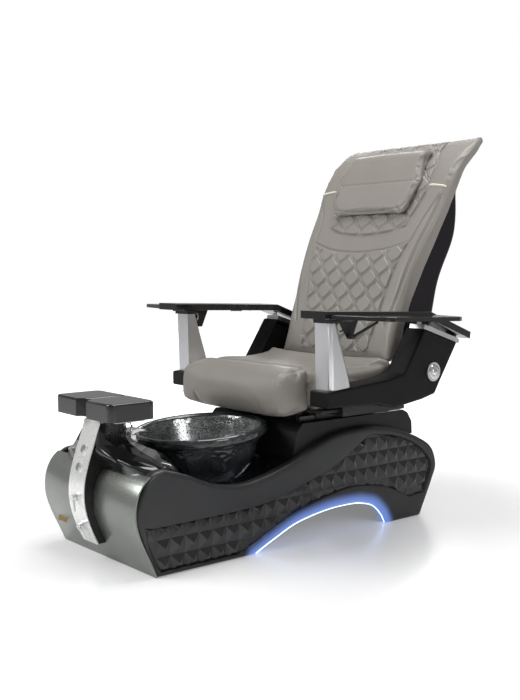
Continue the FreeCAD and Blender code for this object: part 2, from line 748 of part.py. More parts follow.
def arm_shell(label, side):
    """A moulded arm shell, hollow from its inner face, with a hole for the recline pin."""
    up, down = ("up", "down") if side > 0 else ("down", "up")
    body = prism(label, "Sizes.shell_width", ("line", SHELL), way=up)
    face = side * size("shell_width")
    round_edges(body, 9, lambda edge: abs(edge.BoundBox.Center.x - face) < 0.01
                and edge.BoundBox.XLength < 0.01)
    hollow = draw(new_sketch(body, "YZ_Plane"), ("line", inset(SHELL, size("shell_wall"))))
    pocket(body, hollow, "Sizes.shell_width - Sizes.shell_wall", up)
    hole = draw_circle(new_sketch(body, "YZ_Plane"), size("pivot_across"), size("pivot_height"),
                       "Sizes.pivot_radius + 4")
    pocket(body, hole, 400)
    subpart(body, label, x="%d * Sizes.shell_inside" % side)


def pivot_caps():
    """The recline pins, each with its round cover on the outside of a shell."""
    pins = []
    for name, side in SIDES:
        outer = side * (size("shell_inside") + size("shell_width"))
        centre = (size("pivot_across"), size("pivot_height"))
        disc = bar("Sizes.cap_radius", 5, (outer, *centre), (side, 0, 0))
        lid = bar("Sizes.cap_radius - 9", 2, (outer + side * 5, *centre), (side, 0, 0))
        pin = bar("Sizes.pivot_radius", 122, (outer, *centre), (-side, 0, 0))
        pins.append(joined([disc, lid, pin]))
    subpart(grouped(pins), "pivot_caps")


def arm_post(label, side):
    """The tapered metal post between an arm shell and its armrest."""
    body = prism(label, 77, ("line", [(605, 562), (599, 793), (634, 793), (705, 570)]),
                 way="up" if side > 0 else "down")
    round_edges(body, 14, lambda edge: edge.BoundBox.XLength < 0.01 and edge.BoundBox.ZLength > 100
                and abs(edge.BoundBox.Center.x) > 70)
    subpart(body, label, x=side * 375)


def post_caps():
    """The dark caps on the posts, where the armrests come to rest."""
    caps = [block(86, 46, 14, side * 413, 618, 793.3) for name, side in SIDES]
    subpart(grouped(caps), "post_caps")


def rear_mounts():
    """The metal blocks on the shells that hold the armrests' lift pins."""
    mounts = []
    across, height = size("hinge_across"), size("hinge_height")
    for name, side in SIDES:
        middle = side * 414
        outline = [(1075, 755), (1081, 772), (1262, 716), (1277, 709), (1279, 698), (1270, 693), (1256, 699.5)]
        wedge = prism("wedge", 72, ("line", outline))
        place(wedge, middle)
        gap = block(48, 60, 60, middle, 1286, 680)
        pin = bar("Sizes.hinge_pin", 72, (middle - 36, across, height), (1, 0, 0))
        buffer = bar(9, 14.5, (middle, 1092, 766))
        mounts.append(joined([without(wedge, gap), pin, buffer]))
    subpart(grouped(mounts), "rear_mounts")


# ---------------------------------------------------------------------------------------------
# Armrests and trays

ARM = [(540, 811), (540, 837), (1070, 821), (1297, 738), (1293, 712), (1062, 795)]


def armrest(label, side):
    """The armrest slab with the knuckle that turns on the lift pin."""
    slab = prism("slab", "Sizes.arm_width", ("line", ARM))
    round_edges(slab, 3, lambda edge: edge.BoundBox.ZMin > 730 and edge.BoundBox.XLength < 0.01
                and edge.BoundBox.YLength > 100)
    place(slab, "%d * (Sizes.arm_inside + Sizes.arm_width / 2)" % side)
    middle, across, height = side * 414, size("hinge_across"), size("hinge_height")
    knuckle = bar(9, 44, (middle - 22, across, height), (1, 0, 0))
    web = block(44, 14, 22, middle, across + 1, height)
    bore = bar("Sizes.hinge_pin + Sizes.fit_gap", 60, (middle - 30, across, height), (1, 0, 0))
    subpart(without(joined([slab, knuckle, web]), bore), label)


def in_arm_frame(item, label):
    """Places a piece drawn on the armrest's underside, which falls towards the back."""
    turn = Rotation(Vector(1, 0, 0), -size("arm_tilt"))
    return subpart(item, label, y="Sizes.arm_front", z="Sizes.arm_under", turn=turn)


HINGE_X, HINGE_Z = 491.5, -3.5
HINGE_STATIONS = (100, 400)
STAY_X, STAY_Y, STAY_Z = 455, 167, -61


def tray_bracket(label, side):
    """The bracket under the armrest: a corner plate for the stay and the fixed leaves of the hinges."""
    plate = prism("plate", 4, ("line", [(105, -2), (205, -2), (178, -69), (156, -69)]))
    place(plate, side * 438)
    pieces = [plate, block(46, 100, 2, side * 459, 155, -2)]
    pieces.append(block(26, 6, 16, side * 449, STAY_Y - 11, STAY_Z - 8))
    pieces.append(bar("Sizes.stay_pin", 21, (side * STAY_X, STAY_Y - 14, STAY_Z), (0, 1, 0)))
    for along in HINGE_STATIONS:
        pieces.append(block(22, 60, 2, side * 474, along, -2))
        pieces.append(bar("Sizes.tray_pin", 58, (side * HINGE_X, along - 29, HINGE_Z), (0, 1, 0)))
        for step in (-24, 24):
            pieces.append(bar(4, 10, (side * HINGE_X, along + step - 5, HINGE_Z), (0, 1, 0)))
            pieces.append(block(10, 10, 2, side * 486, along + step, -3.4))
    for along in HINGE_STATIONS:
        pieces.append(block(75, 8, 2, side * 445.5, along + 12, -2))
    pieces.append(block(6, 300, 2, side * 466, 250, -2))
    in_arm_frame(joined(pieces), label)


TRAY = [(0, 20), (208, 75), (225, 100), (203, 440), (183, 475), (0, 540)]


def tray(label, side):
    """A fold-down tray with its two hinge leaves."""
    slab = prism("slab", "Sizes.tray_thick", ("line", [(side * u, v) for u, v in TRAY]),
                 plane="XY_Plane", way="up")
    round_edges(slab, 20, lambda edge: is_along("z")(edge) and abs(edge.BoundBox.Center.x) > 150)
    top = slab.Shape.BoundBox.ZMax
    round_edges(slab, 3, lambda edge: edge.BoundBox.ZMin > top - 0.01)
    place(slab, "%d * Sizes.tray_inside" % side, 0, 1.5)
    pieces, bores = [slab], []
    for along in HINGE_STATIONS:
        pieces.append(bar(4, 37, (side * HINGE_X, along - 18.5, HINGE_Z), (0, 1, 0)))
        pieces.append(block(30, 37, 3, side * 510, along, -1.5))
        pieces.append(block(5, 37, 4, side * 493.5, along, -3.5))
        bores.append(bar("Sizes.tray_pin + Sizes.fit_gap", 60, (side * HINGE_X, along - 30, HINGE_Z), (0, 1, 0)))
    in_arm_frame(without(joined(pieces), *bores), label)


STAY_TIP = (44, 74, 52)


def tray_stay(label, side):
    """The stay that leans from the bracket's corner out to the tray."""
    foot = Vector(side * STAY_X, STAY_Y, STAY_Z)
    reach = Vector(side * STAY_TIP[0], STAY_TIP[1], STAY_TIP[2])
    eye = bar(8, 14, (foot.x, foot.y - 7, foot.z), (0, 1, 0))
    stem = bar(5, reach.Length - 7, tuple(foot + reach * (7 / reach.Length)), tuple(reach))
    bore = bar("Sizes.stay_pin + Sizes.fit_gap", 60, (foot.x, foot.y - 30, foot.z), (0, 1, 0))
    in_arm_frame(without(joined([eye, stem]), bore), label)


RING_Y, RING_X = 131, 425


def tray_ring(label, side):
    """The pull ring of a tray's catch, hanging under the armrest."""
    ring = doc.addObject("Part::Torus", "ring")
    bind(ring, Radius1=17, Radius2=3)
    ring.Placement = Placement(Vector(side * RING_X, RING_Y, -28), Rotation(Vector(0, 1, 0), 90))
    stem = bar(3, 10, (side * RING_X, RING_Y, -12), (0, 0, 1))
    collar = bar(5, 10, (side * RING_X, RING_Y - 5, -6), (0, 1, 0))
    in_arm_frame(joined([ring, stem, collar]), label)


# ---------------------------------------------------------------------------------------------
# Backrest

BACK_FRONT = [(1040, 622), (1080, 760), (1110, 855), (1148, 975), (1207, 1090), (1277, 1210), (1320, 1305),
              (1380, 1392), (1455, 1455), (1510, 1487), (1554, 1501)]
BACK_REAR = [(1562, 1489), (1545, 1472), (1477, 1418), (1407, 1355), (1358, 1258), (1322, 1181), (1276, 1086),
             (1227, 971), (1177, 861), (1150, 790), (1126, 700), (1112, 640)]
BACK_SIDE = [(311, 600), (316, 855), (324, 975), (345, 1090), (360, 1210), (366, 1305), (366, 1400),
             (357, 1450), (335, 1482), (300, 1502)]
SHELL_REAR = [(1524, 1436), (1492, 1385), (1462, 1330), (1443, 1290), (1442, 1240), (1441, 1165), (1430, 1106),
              (1382, 1009), (1337, 918), (1310, 814), (1280, 722)]


def back_cushion():
    """The back cushion, wider towards the shoulders and curling backwards at the top."""
    side = prism("side", "2 * Sizes.back_half_width", ("curve", BACK_FRONT), ("line", [BACK_REAR[0]]),
                 ("curve", BACK_REAR))
    mirrored = [(-u, v) for u, v in BACK_SIDE]
    front = prism("front", 4000, ("curve", mirrored), ("line", [(-300, 1600), (300, 1600), BACK_SIDE[-1]]),
                  ("curve", BACK_SIDE[::-1]), plane="XZ_Plane")
    subpart(shared([side, front]), "back_cushion")


def back_shell():
    """The moulded shell behind the cushion that houses the massage drive."""
    front = shifted(traced(BACK_REAR, 25), -1)[3:-2]
    outline = (("line", front), ("line", [(1180, 690)] + [SHELL_REAR[-1]]), ("curve", SHELL_REAR[::-1]))
    body = prism("back_shell", "2 * Sizes.back_shell_half_width", *outline)
    round_edges(body, 22, lambda edge: edge.BoundBox.XLength < 0.01 and edge.BoundBox.ZMax > 1400
                and edge.BoundBox.ZMin < 730 and edge.BoundBox.YMin > 1250)
    hollow = [(1478, 1398), (1448, 1335), (1430, 1290), (1429, 1240), (1428, 1165), (1417, 1112), (1370, 1016),
              (1325, 925), (1298, 820), (1270, 738), (1152, 716), (1166, 790), (1192, 861), (1242, 971),
              (1291, 1086), (1336, 1181), (1372, 1258), (1418, 1344)]
    pocket(body, draw(new_sketch(body, "YZ_Plane"), ("line", hollow)),
           "2 * (Sizes.back_shell_half_width - Sizes.skin)")
    passage = [(1182, 733), (1182, 761), (1210, 761), (1210, 733)]
    pocket(body, draw(new_sketch(body, "YZ_Plane"), ("line", passage)), "2 * Sizes.back_shell_half_width + 2")
    subpart(body, "back_shell")


def back_frame():
    """The steel frame: side plates on the recline pins, uprights, cross tubes and the actuator's lug."""
    across, height, drop = size("pivot_across"), size("pivot_height"), size("lug_drop")
    pieces, bores = [], []
    spine = [(1190, 760), (1224, 860), (1274, 985), (1334, 1110), (1386, 1230)]
    for name, side in SIDES:
        plate = prism("plate", 8, ("line", [(1092, 572), (1092, 640), (1150, 760), (1215, 760), (1150, 600),
                                            (1140, 572)]))
        pieces.append(place(plate, side * 350))
        pieces.append(place(prism("upright", 24, *skin(spine, 24)), side * 280))
        pieces.append(block(80, 24, 24, side * 314, 1196, 735))
        bores.append(bar("Sizes.pivot_radius + Sizes.fit_gap", 60, (side * 380, across, height), (-side, 0, 0)))
    pieces += [block(700, 26, 26, 0, 1157, 640), block(570, 24, 24, 0, 1206, 752), block(570, 24, 24, 0, 1391, 1200)]
    lug = prism("lug", 12, ("line", [(1144, 650), (1169, 650), (1167, height - drop - 7),
                                     (1147, height - drop - 7)]))
    pieces += [place(lug, "Sizes.lug_across"), bar(6, 40, (size("lug_across") - 20, 1157, height - drop), (1, 0, 0))]
    subpart(without(joined(pieces), *bores), "back_frame")


def head_pillow():
    """The head pillow, hung over the top of the back cushion."""
    rear = [(1424, 1438), (1368, 1388), (1306, 1290), (1264, 1206)]
    side = prism("side", 480, ("line", [(1238, 1200)]), ("curve", [(1238, 1200), (1246, 1240), (1289, 1321)]),
                 ("curve", [(1289, 1321), (1330, 1400), (1368, 1440)]), ("line", [rear[0]]), ("curve", rear))
    front = prism("front", 4000, ("line", [(-202, 1190), (-234, 1321), (-201, 1450), (201, 1450), (234, 1321),
                                           (202, 1190)]), plane="XZ_Plane")
    subpart(shared([side, front]), "head_pillow")


RAIL_WAY = (0.387, 0.922)


def massage_unit():
    """The massage carriage that travels up and down behind the cushion."""
    case = block(300, 44, 120, 0, 0, 0)
    motors = [bar(24, 90, (x, 8, 60), (1, 0, 0)) for x in (-120, 30)]
    arms = [block(8, 26, 30, x, -27, 46) for x in (-96, 96)]
    unit = joined([case] + motors + arms)
    axle = bar("5 + Sizes.fit_gap", 260, (-130, -28, 60), (1, 0, 0))
    wells = [block(34, 24, 32, x, -22, 44) for x in (-60, 60)] + [block(8, 24, 24, x, -22, 48) for x in (-113, 113)]
    tilt = -math.degrees(math.atan2(RAIL_WAY[0], RAIL_WAY[1]))
    subpart(without(unit, axle, *wells), "massage_unit", y=1260, z=880, turn=Rotation(Vector(1, 0, 0), tilt))


def massage_rollers():
    """The kneading axle with its rollers."""
    axle = bar(5, 230, (-115, -28, 60), (1, 0, 0))
    rollers = [bar(14, 26, (x - 13, -28, 60), (1, 0, 0)) for x in (-60, 60)]
    ends = [bar(9, 4, (x, -28, 60), (1, 0, 0)) for x in (-115, 111)]
    tilt = -math.degrees(math.atan2(RAIL_WAY[0], RAIL_WAY[1]))
    subpart(joined([axle] + rollers + ends), "massage_rollers", y=1260, z=880,
            turn=Rotation(Vector(1, 0, 0), tilt))


ACTUATOR_HEIGHT = size("pivot_height") - size("lug_drop")


def recline_actuator():
    """The recline actuator's tube, motor and gearbox, hung under a cross member of the carriage."""
    tube = bar(12, 275, (0, 745, 0), (0, 1, 0))
    motor = bar(12, 110, (28, 756, 0), (0, 1, 0))
    gearbox = block(54, 22, 24, 14, 756, -12)
    hanger = block(24, 24, 15.5, 0, 760, 0)
    bore = bar("Sizes.rod_radius + 0.3", 270, (0, 754, 0), (0, 1, 0))
    subpart(without(joined([tube, motor, gearbox, hanger]), bore), "recline_actuator",
            x="Sizes.lug_across", z=ACTUATOR_HEIGHT)


def recline_rod():
    """The actuator's rod, with a fork that is open below for the pin of the back frame's lug."""
    rod = bar("Sizes.rod_radius", 300, (0, 830, 0), (0, 1, 0))
    fork = block(28, 58, 24, 0, 1148, -12)
    throat = block(13.5, 50, 30, 0, 1161, -15)
    notch = block(40, 15, 22, 0, 1157, -15)
    subpart(without(joined([rod, fork]), throat, notch), "recline_rod", x="Sizes.lug_across", z=ACTUATOR_HEIGHT)


def trimmed(label, *others):
    """Cuts a finished piece back where it would run into its neighbours."""
    named = {item.Label: item for item in subparts}
    whole = named[label]
    whole.Label = label + "_untrimmed"
    piece = without(whole, *[named[other] for other in others])
    piece.Label = label
    subparts[subparts.index(whole)] = piece


# ---------------------------------------------------------------------------------------------
# The chair

base_frame()
levelling_feet()
front_drum()
tub_deck()
rear_cover()
mains_inlet()
plinth_cover()
panel_inlays()
led_strips()
column_faceplate()
column_casing()
column_sleeve()
foot_bowl()
bowl_drain()
bowl_spout()
jet_motor()
drain_pump()
water_hoses()
mixing_valve()
control_box()
for control, height in CONTROLS[:2]:
    push_button(control, height)
valve_lever("hot_lever", CONTROLS[2][1], 170)
valve_lever("cold_lever", CONTROLS[3][1], 167)
footrest_mast()
footrest_latch()
slide_rails()
slide_motor()
carriage_frame()
seat_pan()
seat_cushion()
pivot_caps()
post_caps()
rear_mounts()
back_frame()
back_shell()
back_cushion()
head_pillow()
massage_unit()
massage_rollers()
recline_actuator()
recline_rod()
for name, side in SIDES:
    side_panel("side_panel_" + name, side)
    footrest_pad("footrest_pad_" + name, side)
    arm_shell("arm_shell_" + name, side)
    arm_post("arm_post_" + name, side)
    armrest("armrest_" + name, side)
    tray_bracket("tray_bracket_" + name, side)
    tray("tray_" + name, side)
    tray_stay("tray_stay_" + name, side)
    tray_ring("tray_ring_" + name, side)
trimmed("rear_mounts", "arm_shell_left", "arm_shell_right")
trimmed("column_casing", "column_faceplate", "bowl_spout", "water_hoses")
trimmed("bowl_drain", "foot_bowl")
trimmed("front_drum", "side_panel_left", "side_panel_right")
trimmed("panel_inlays", "side_panel_left", "side_panel_right")

doc.recompute()
for item in doc.Objects:
    assert not {"Invalid", "Error"} & set(item.State), (item.Label, item.State)
for item in subparts:
    assert not item.Shape.isNull() and item.Shape.isValid(), item.Label
os.makedirs("parts", exist_ok=True)
for item in subparts:
    item.Shape.exportStep("parts/%s.step" % item.Label)
    box = item.Shape.BoundBox
    print("%-20s %2d solid  X %7.1f %7.1f  Y %7.1f %7.1f  Z %7.1f %7.1f" % (
        item.Label, len(item.Shape.Solids), box.XMin, box.XMax, box.YMin, box.YMax, box.ZMin, box.ZMax))
print(len(subparts), "sub-parts")
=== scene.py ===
import math

import bmesh
import bpy
import numpy as np
from mathutils import Matrix, Vector, noise
from mathutils.bvhtree import BVHTree
from mathutils.geometry import delaunay_2d_cdt
from mathutils.kdtree import KDTree


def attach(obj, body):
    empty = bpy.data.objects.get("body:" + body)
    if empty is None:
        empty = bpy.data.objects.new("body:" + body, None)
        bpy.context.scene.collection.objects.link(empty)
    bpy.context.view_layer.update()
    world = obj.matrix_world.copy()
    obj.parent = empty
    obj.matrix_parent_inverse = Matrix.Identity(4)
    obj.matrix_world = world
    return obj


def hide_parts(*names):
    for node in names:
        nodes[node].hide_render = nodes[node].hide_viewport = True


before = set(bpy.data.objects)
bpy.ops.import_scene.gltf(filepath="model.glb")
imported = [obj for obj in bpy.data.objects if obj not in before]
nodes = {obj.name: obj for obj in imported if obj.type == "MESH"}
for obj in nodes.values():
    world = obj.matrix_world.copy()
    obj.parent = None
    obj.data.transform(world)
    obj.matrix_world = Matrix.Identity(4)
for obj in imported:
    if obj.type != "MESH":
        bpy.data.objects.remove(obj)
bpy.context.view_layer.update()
scene = bpy.context.scene

ROW_BACK = 710  # the row's origin is this far behind the base's front edge
SIDES = (("left", 1), ("right", -1))


# ------------------------------------------------------------------------------------- camera

camera = bpy.data.objects.new("camera", bpy.data.cameras.new("camera"))
scene.collection.objects.link(camera)
camera.location = (2.8711, -2.4196, 0.9934)
camera.rotation_euler = (math.radians(85.05), 0, math.radians(50.4))
camera.data.lens = 51
camera.data.sensor_width = 36
camera.data.clip_start = 0.05
scene.camera = camera


# ------------------------------------------------------------------------------------- shapes


def at(x, y, z):
    """Millimetres, with y from the front edge of the base, as metres in the row frame."""
    return Vector((x, y - ROW_BACK, z)) / 1000


def smooth(points, steps=8, closed=False):
    """A smooth line through the points, with steps between each two."""
    p = [np.array(q, float) for q in points]
    p = [p[-1], *p, p[0], p[1]] if closed else [2 * p[0] - p[1], *p, 2 * p[-1] - p[-2]]
    line = []
    for i in range(1, len(p) - 2):
        for t in np.arange(steps) / steps:
            a, b, c, d = p[i - 1 : i + 3]
            line.append(
                0.5 * (2 * b + (c - a) * t + (2 * a - 5 * b + 4 * c - d) * t**2 + (3 * b - a - 3 * c + d) * t**3)
            )
    return np.array(line if closed else line + [p[-2]])


def even(points, spacing, closed=False):
    """The line at even distances."""
    p = np.array(points, float)
    if closed:
        p = np.vstack([p, p[:1]])
    along = np.r_[0, np.cumsum(np.linalg.norm(np.diff(p, axis=0), axis=1))]
    count = max(2, round(along[-1] / spacing))
    at_ = np.linspace(0, along[-1], count + 1)
    q = np.stack([np.interp(at_, along, p[:, k]) for k in range(p.shape[1])], 1)
    return q[:-1] if closed else q


def counter_clockwise(loop):
    loop = np.array(loop, float)
    ahead = np.roll(loop, -1, 0)
    area = np.sum(loop[:, 0] * ahead[:, 1] - loop[:, 1] * ahead[:, 0])
    return loop if area > 0 else loop[::-1]


def inward(loop, distance):
    """A closed counter-clockwise loop drawn in by a distance."""
    before, ahead = np.roll(loop, 1, 0), np.roll(loop, -1, 0)

    def normal(d):
        d = d / np.maximum(np.linalg.norm(d, axis=1, keepdims=True), 1e-9)
        return np.stack([-d[:, 1], d[:, 0]], 1)

    n1, n2 = normal(loop - before), normal(ahead - loop)
    n = n1 + n2
    n /= np.maximum(np.linalg.norm(n, axis=1, keepdims=True), 1e-9)
    spread = np.clip(np.sum(n * n1, axis=1, keepdims=True), 0.5, 1)
    return loop + n * distance / spread


def make(name, verts, faces, material, body, sharp=35, scale=0.001):
    """A mesh object from points in millimetres (y from the base's front edge), on a CAD body."""
    mesh = bpy.data.meshes.new(name)
    v = np.array(verts, float)
    if scale == 0.001:
        v = (v - [0, ROW_BACK, 0]) * scale
    mesh.from_pydata(v.tolist(), [], [list(map(int, f)) for f in faces])
    mesh.validate()
    mesh.shade_smooth()
    if sharp:
        mesh.set_sharp_from_angle(angle=math.radians(sharp))
    obj = bpy.data.objects.new(name, mesh)
    scene.collection.objects.link(obj)
    if material:
        mesh.materials.append(material)
    if body:
        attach(obj, body)
    return obj


def strips(count, size, first=0, closed=True):
    """Quads between consecutive rings of the same size."""
    faces = []
    for k in range(count - 1):
        a, b = first + k * size, first + (k + 1) * size
        for i in range(size if closed else size - 1):
            j = (i + 1) % size
            faces.append((a + i, a + j, b + j, b + i))
    return faces


def slab(loop, x0, x1, radius, steps=5):
    """A y-z outline made thick from x0 to x1, with rounded rims where the outline is thick enough."""
    loop = counter_clockwise(loop)
    n = len(loop)
    apart = np.linalg.norm(loop[:, None] - loop[None], axis=2)
    step = np.abs(np.arange(n)[:, None] - np.arange(n)[None])
    apart[np.minimum(step, n - step) < n // 12] = 1e9
    share = np.minimum(1, 0.42 * apart.min(1) / radius)
    share = np.array([np.mean(np.take(share, range(i - 3, i + 4), mode="wrap")) for i in range(n)])[:, None]
    turn = [k / steps * math.pi / 2 for k in range(steps + 1)]
    rings = [(radius * (1 - math.sin(a)), x0 + radius * (1 - math.cos(a))) for a in turn]
    rings += [(d, x0 + x1 - x) for d, x in reversed(rings)]
    verts = []
    for d, x in rings:
        verts += [(x, y, z) for y, z in inward(loop, d * share)]
    faces = strips(len(rings), n)
    faces.append(tuple(range(n)))
    faces.append(tuple(range(len(verts) - 1, len(verts) - 1 - n, -1)))
    return verts, faces


def revolve(profile, segments, place=lambda p, angle: p):
    """A profile of (r, z) turned about Z; place can move each point."""
    verts = []
    for r, z in profile:
        for k in range(segments):
            a = 2 * math.pi * k / segments
            verts.append(place((r * math.cos(a), r * math.sin(a), z), a))
    return verts, strips(len(profile), segments)


def tube(points, radius, sides=10, closed=False, flat=1.0):
    """A tube along points in row metres; flat squeezes it across its second direction."""
    p = [Vector(q) for q in points]
    n = len(p)
    verts, faces = [], []
    normal = None
    for i, q in enumerate(p):
        ahead = p[(i + 1) % n] if closed or i < n - 1 else q
        behind = p[i - 1] if closed or i > 0 else q
        t = (ahead - behind).normalized()
        if normal is None:
            normal = t.orthogonal().normalized()
        normal = (normal - t * normal.dot(t)).normalized()
        other = t.cross(normal)
        for k in range(sides):
            a = 2 * math.pi * k / sides
            verts.append(q + radius * (math.cos(a) * normal + flat * math.sin(a) * other))
    faces = strips(n, sides)
    if closed:
        faces += [(n * sides - sides + k, n * sides - sides + (k + 1) % sides, (k + 1) % sides, k) for k in range(sides)]
    else:
        faces += [tuple(range(sides))[::-1], tuple(range((n - 1) * sides, n * sides))]
    return verts, faces


def together(parts):
    verts, faces = [], []
    for v, f in parts:
        faces += [tuple(i + len(verts) for i in face) for face in f]
        verts += list(v)
    return verts, faces


def settle(obj):
    """Applies an object's modifiers to its mesh."""
    evaluated = obj.evaluated_get(bpy.context.evaluated_depsgraph_get())
    mesh = bpy.data.meshes.new_from_object(evaluated)
    obj.modifiers.clear()
    obj.data = mesh
    mesh.shade_smooth()


def coordinates(obj):
    co = np.empty(len(obj.data.vertices) * 3, np.float32)
    obj.data.vertices.foreach_get("co", co)
    return co.reshape(-1, 3).astype(float)


def set_coordinates(obj, co):
    obj.data.vertices.foreach_set("co", co.astype(np.float32).ravel())
    obj.data.update()


def normals(obj):
    n = np.empty(len(obj.data.vertices) * 3, np.float32)
    obj.data.vertices.foreach_get("normal", n)
    return n.reshape(-1, 3).astype(float)


# ---------------------------------------------------------------------------------- materials


def wire(tree, kind, settings=(), **inputs):
    node = tree.nodes.new(kind)
    for key, value in dict(settings).items():
        setattr(node, key, value)
    for key, value in inputs.items():
        socket = node.inputs[key.replace("_", " ")]
        if isinstance(value, bpy.types.NodeSocket):
            tree.links.new(value, socket)
        else:
            socket.default_value = value
    return node


def surface(name, colour, rough, metal=0.0, spread=0.15, patch=9.0, grain=350.0, depth=0.1,
            stretch=(1, 1, 1), rough_spread=0.06, coat=0.0, sheen=0.0, cells=False, tint=None):
    """A procedural finish: colour that varies in patches, and a grain that shapes bump and roughness."""
    m = bpy.data.materials.new(name)
    m.use_nodes = True
    t = m.node_tree
    t.nodes.clear()
    out = t.nodes.new("ShaderNodeOutputMaterial")
    shader = wire(t, "ShaderNodeBsdfPrincipled", Metallic=metal)
    shader.inputs["Coat Weight"].default_value = coat
    shader.inputs["Coat Roughness"].default_value = 0.08
    shader.inputs["Sheen Weight"].default_value = sheen
    shader.inputs["Sheen Roughness"].default_value = 0.4
    t.links.new(shader.outputs[0], out.inputs[0])
    place = wire(t, "ShaderNodeTexCoord").outputs["Object"]
    drawn = wire(t, "ShaderNodeMapping", Vector=place, Scale=stretch).outputs[0]
    patches = wire(t, "ShaderNodeTexNoise", Vector=drawn, Scale=patch, Detail=4.0, Roughness=0.6).outputs[0]
    fine = wire(t, "ShaderNodeTexNoise", Vector=drawn, Scale=grain, Detail=3.0, Roughness=0.55).outputs[0]
    dark = [c * (1 - spread) for c in colour] + [1]
    light = [min(1, c * (1 + spread)) for c in (tint or colour)] + [1]
    ramp = wire(t, "ShaderNodeValToRGB", Fac=patches)
    ramp.color_ramp.elements[0].position, ramp.color_ramp.elements[1].position = 0.3, 0.72
    ramp.color_ramp.elements[0].color, ramp.color_ramp.elements[1].color = dark, light
    t.links.new(ramp.outputs[0], shader.inputs["Base Color"])
    level = wire(t, "ShaderNodeMapRange", Value=fine, From_Min=0.3, From_Max=0.7,
                 To_Min=max(0.02, rough - rough_spread), To_Max=min(1, rough + rough_spread))
    t.links.new(level.outputs[0], shader.inputs["Roughness"])
    height = fine
    if cells:
        pores = wire(t, "ShaderNodeTexVoronoi", {"feature": "DISTANCE_TO_EDGE"}, Vector=drawn, Scale=grain * 1.1)
        crease = wire(t, "ShaderNodeMapRange", Value=pores.outputs[0], From_Min=0.0, From_Max=0.22)
        height = wire(t, "ShaderNodeMath", {"operation": "MULTIPLY_ADD"}).outputs[0]
        t.links.new(crease.outputs[0], height.node.inputs[0])
        height.node.inputs[1].default_value = 0.7
        t.links.new(fine, height.node.inputs[2])
    bump = wire(t, "ShaderNodeBump", Height=height, Strength=depth, Distance=0.0006)
    t.links.new(bump.outputs[0], shader.inputs["Normal"])
    return m


LEATHER = surface("leather", (0.205, 0.19, 0.17), 0.4, spread=0.05, patch=5, grain=520, depth=0.35,
                  sheen=0.03, cells=True, coat=0.08)
PIPING = surface("piping", (0.68, 0.63, 0.54), 0.42, spread=0.06, patch=20, grain=700, depth=0.3)
THREAD = surface("thread", (0.16, 0.145, 0.125), 0.7, spread=0.1, grain=1500, depth=0.4)
PANEL = surface("charcoal_panel", (0.017, 0.0175, 0.019), 0.4, spread=0.12, grain=900, depth=0.16)
INLAY = surface("charcoal_inlay", (0.0085, 0.0088, 0.01), 0.24, spread=0.18, grain=700, depth=0.1, coat=0.25)
PEWTER = surface("pewter", (0.25, 0.265, 0.245), 0.3, metal=0.75, spread=0.05, grain=1200, depth=0.08,
                 stretch=(0.15, 1, 1), coat=0.15)
GLOSS = surface("black_gloss", (0.006, 0.006, 0.0065), 0.1, spread=0.2, grain=60, depth=0.05,
                rough_spread=0.04, coat=0.5)
MATTE = surface("black_matte", (0.0035, 0.0035, 0.0038), 0.5, spread=0.2, grain=1100, depth=0.3, cells=True)
MATTE.node_tree.nodes["Principled BSDF"].inputs["Specular IOR Level"].default_value = 0.22
COVER = surface("black_cover", (0.010, 0.010, 0.0105), 0.42, spread=0.15, grain=900, depth=0.2)
COVER.node_tree.nodes["Principled BSDF"].inputs["Specular IOR Level"].default_value = 0.3
SHELL_BLACK = surface("shell_black", (0.0075, 0.0055, 0.0085), 0.33, spread=0.2, grain=500, depth=0.12)
SHELL_BLACK.node_tree.nodes["Principled BSDF"].inputs["Specular IOR Level"].default_value = 0.3
FACE_METAL = surface("face_metal", (0.9, 0.9, 0.88), 0.3, metal=0.7, spread=0.02, grain=700, depth=0.03,
                     stretch=(1, 0.3, 0.3), rough_spread=0.05, coat=0.3)
CHROME = surface("chrome", (0.78, 0.79, 0.8), 0.1, metal=1.0, spread=0.03, grain=250, depth=0.02, rough_spread=0.03)
SATIN = surface("satin_aluminium", (0.8, 0.8, 0.815), 0.3, metal=1.0, spread=0.015, patch=3, grain=1500,
                depth=0.012, stretch=(1, 1, 0.03), rough_spread=0.025)
STEEL = surface("steel", (0.5, 0.5, 0.51), 0.28, metal=1.0, spread=0.08, grain=600, depth=0.06, stretch=(0.2, 1, 1))
PAINT = surface("frame_paint", (0.012, 0.012, 0.013), 0.35, spread=0.15, grain=420, depth=0.2)
RUBBER = surface("rubber", (0.012, 0.012, 0.012), 0.7, spread=0.15, grain=800, depth=0.25)
PLYWOOD = surface("plywood", (0.016, 0.0145, 0.013), 0.6, spread=0.25, patch=24, grain=260, depth=0.2,
                  stretch=(1, 0.08, 4), tint=(0.024, 0.021, 0.018))
RAIL = surface("rail_steel", (0.1, 0.1, 0.105), 0.34, metal=1.0, spread=0.1, grain=600, depth=0.05, stretch=(1, 0.2, 1))
BRASS = surface("brass_plate", (0.56, 0.43, 0.2), 0.3, metal=1.0, spread=0.06, grain=1500, depth=0.08,
                stretch=(0.05, 1, 1))
BOWL_OUT = surface("bowl_outside", (0.012, 0.0135, 0.0145), 0.17, spread=0.35, patch=14, grain=180, depth=0.2,
                   coat=0.6, tint=(0.03, 0.034, 0.036))


def lamp():
    m = surface("lamp", (0.75, 0.85, 1.0), 0.4, spread=0.03, grain=300, depth=0.05)
    shader = m.node_tree.nodes["Principled BSDF"]
    shader.inputs["Emission Color"].default_value = (0.42, 0.6, 1.0, 1)
    shader.inputs["Emission Strength"].default_value = 4
    return m


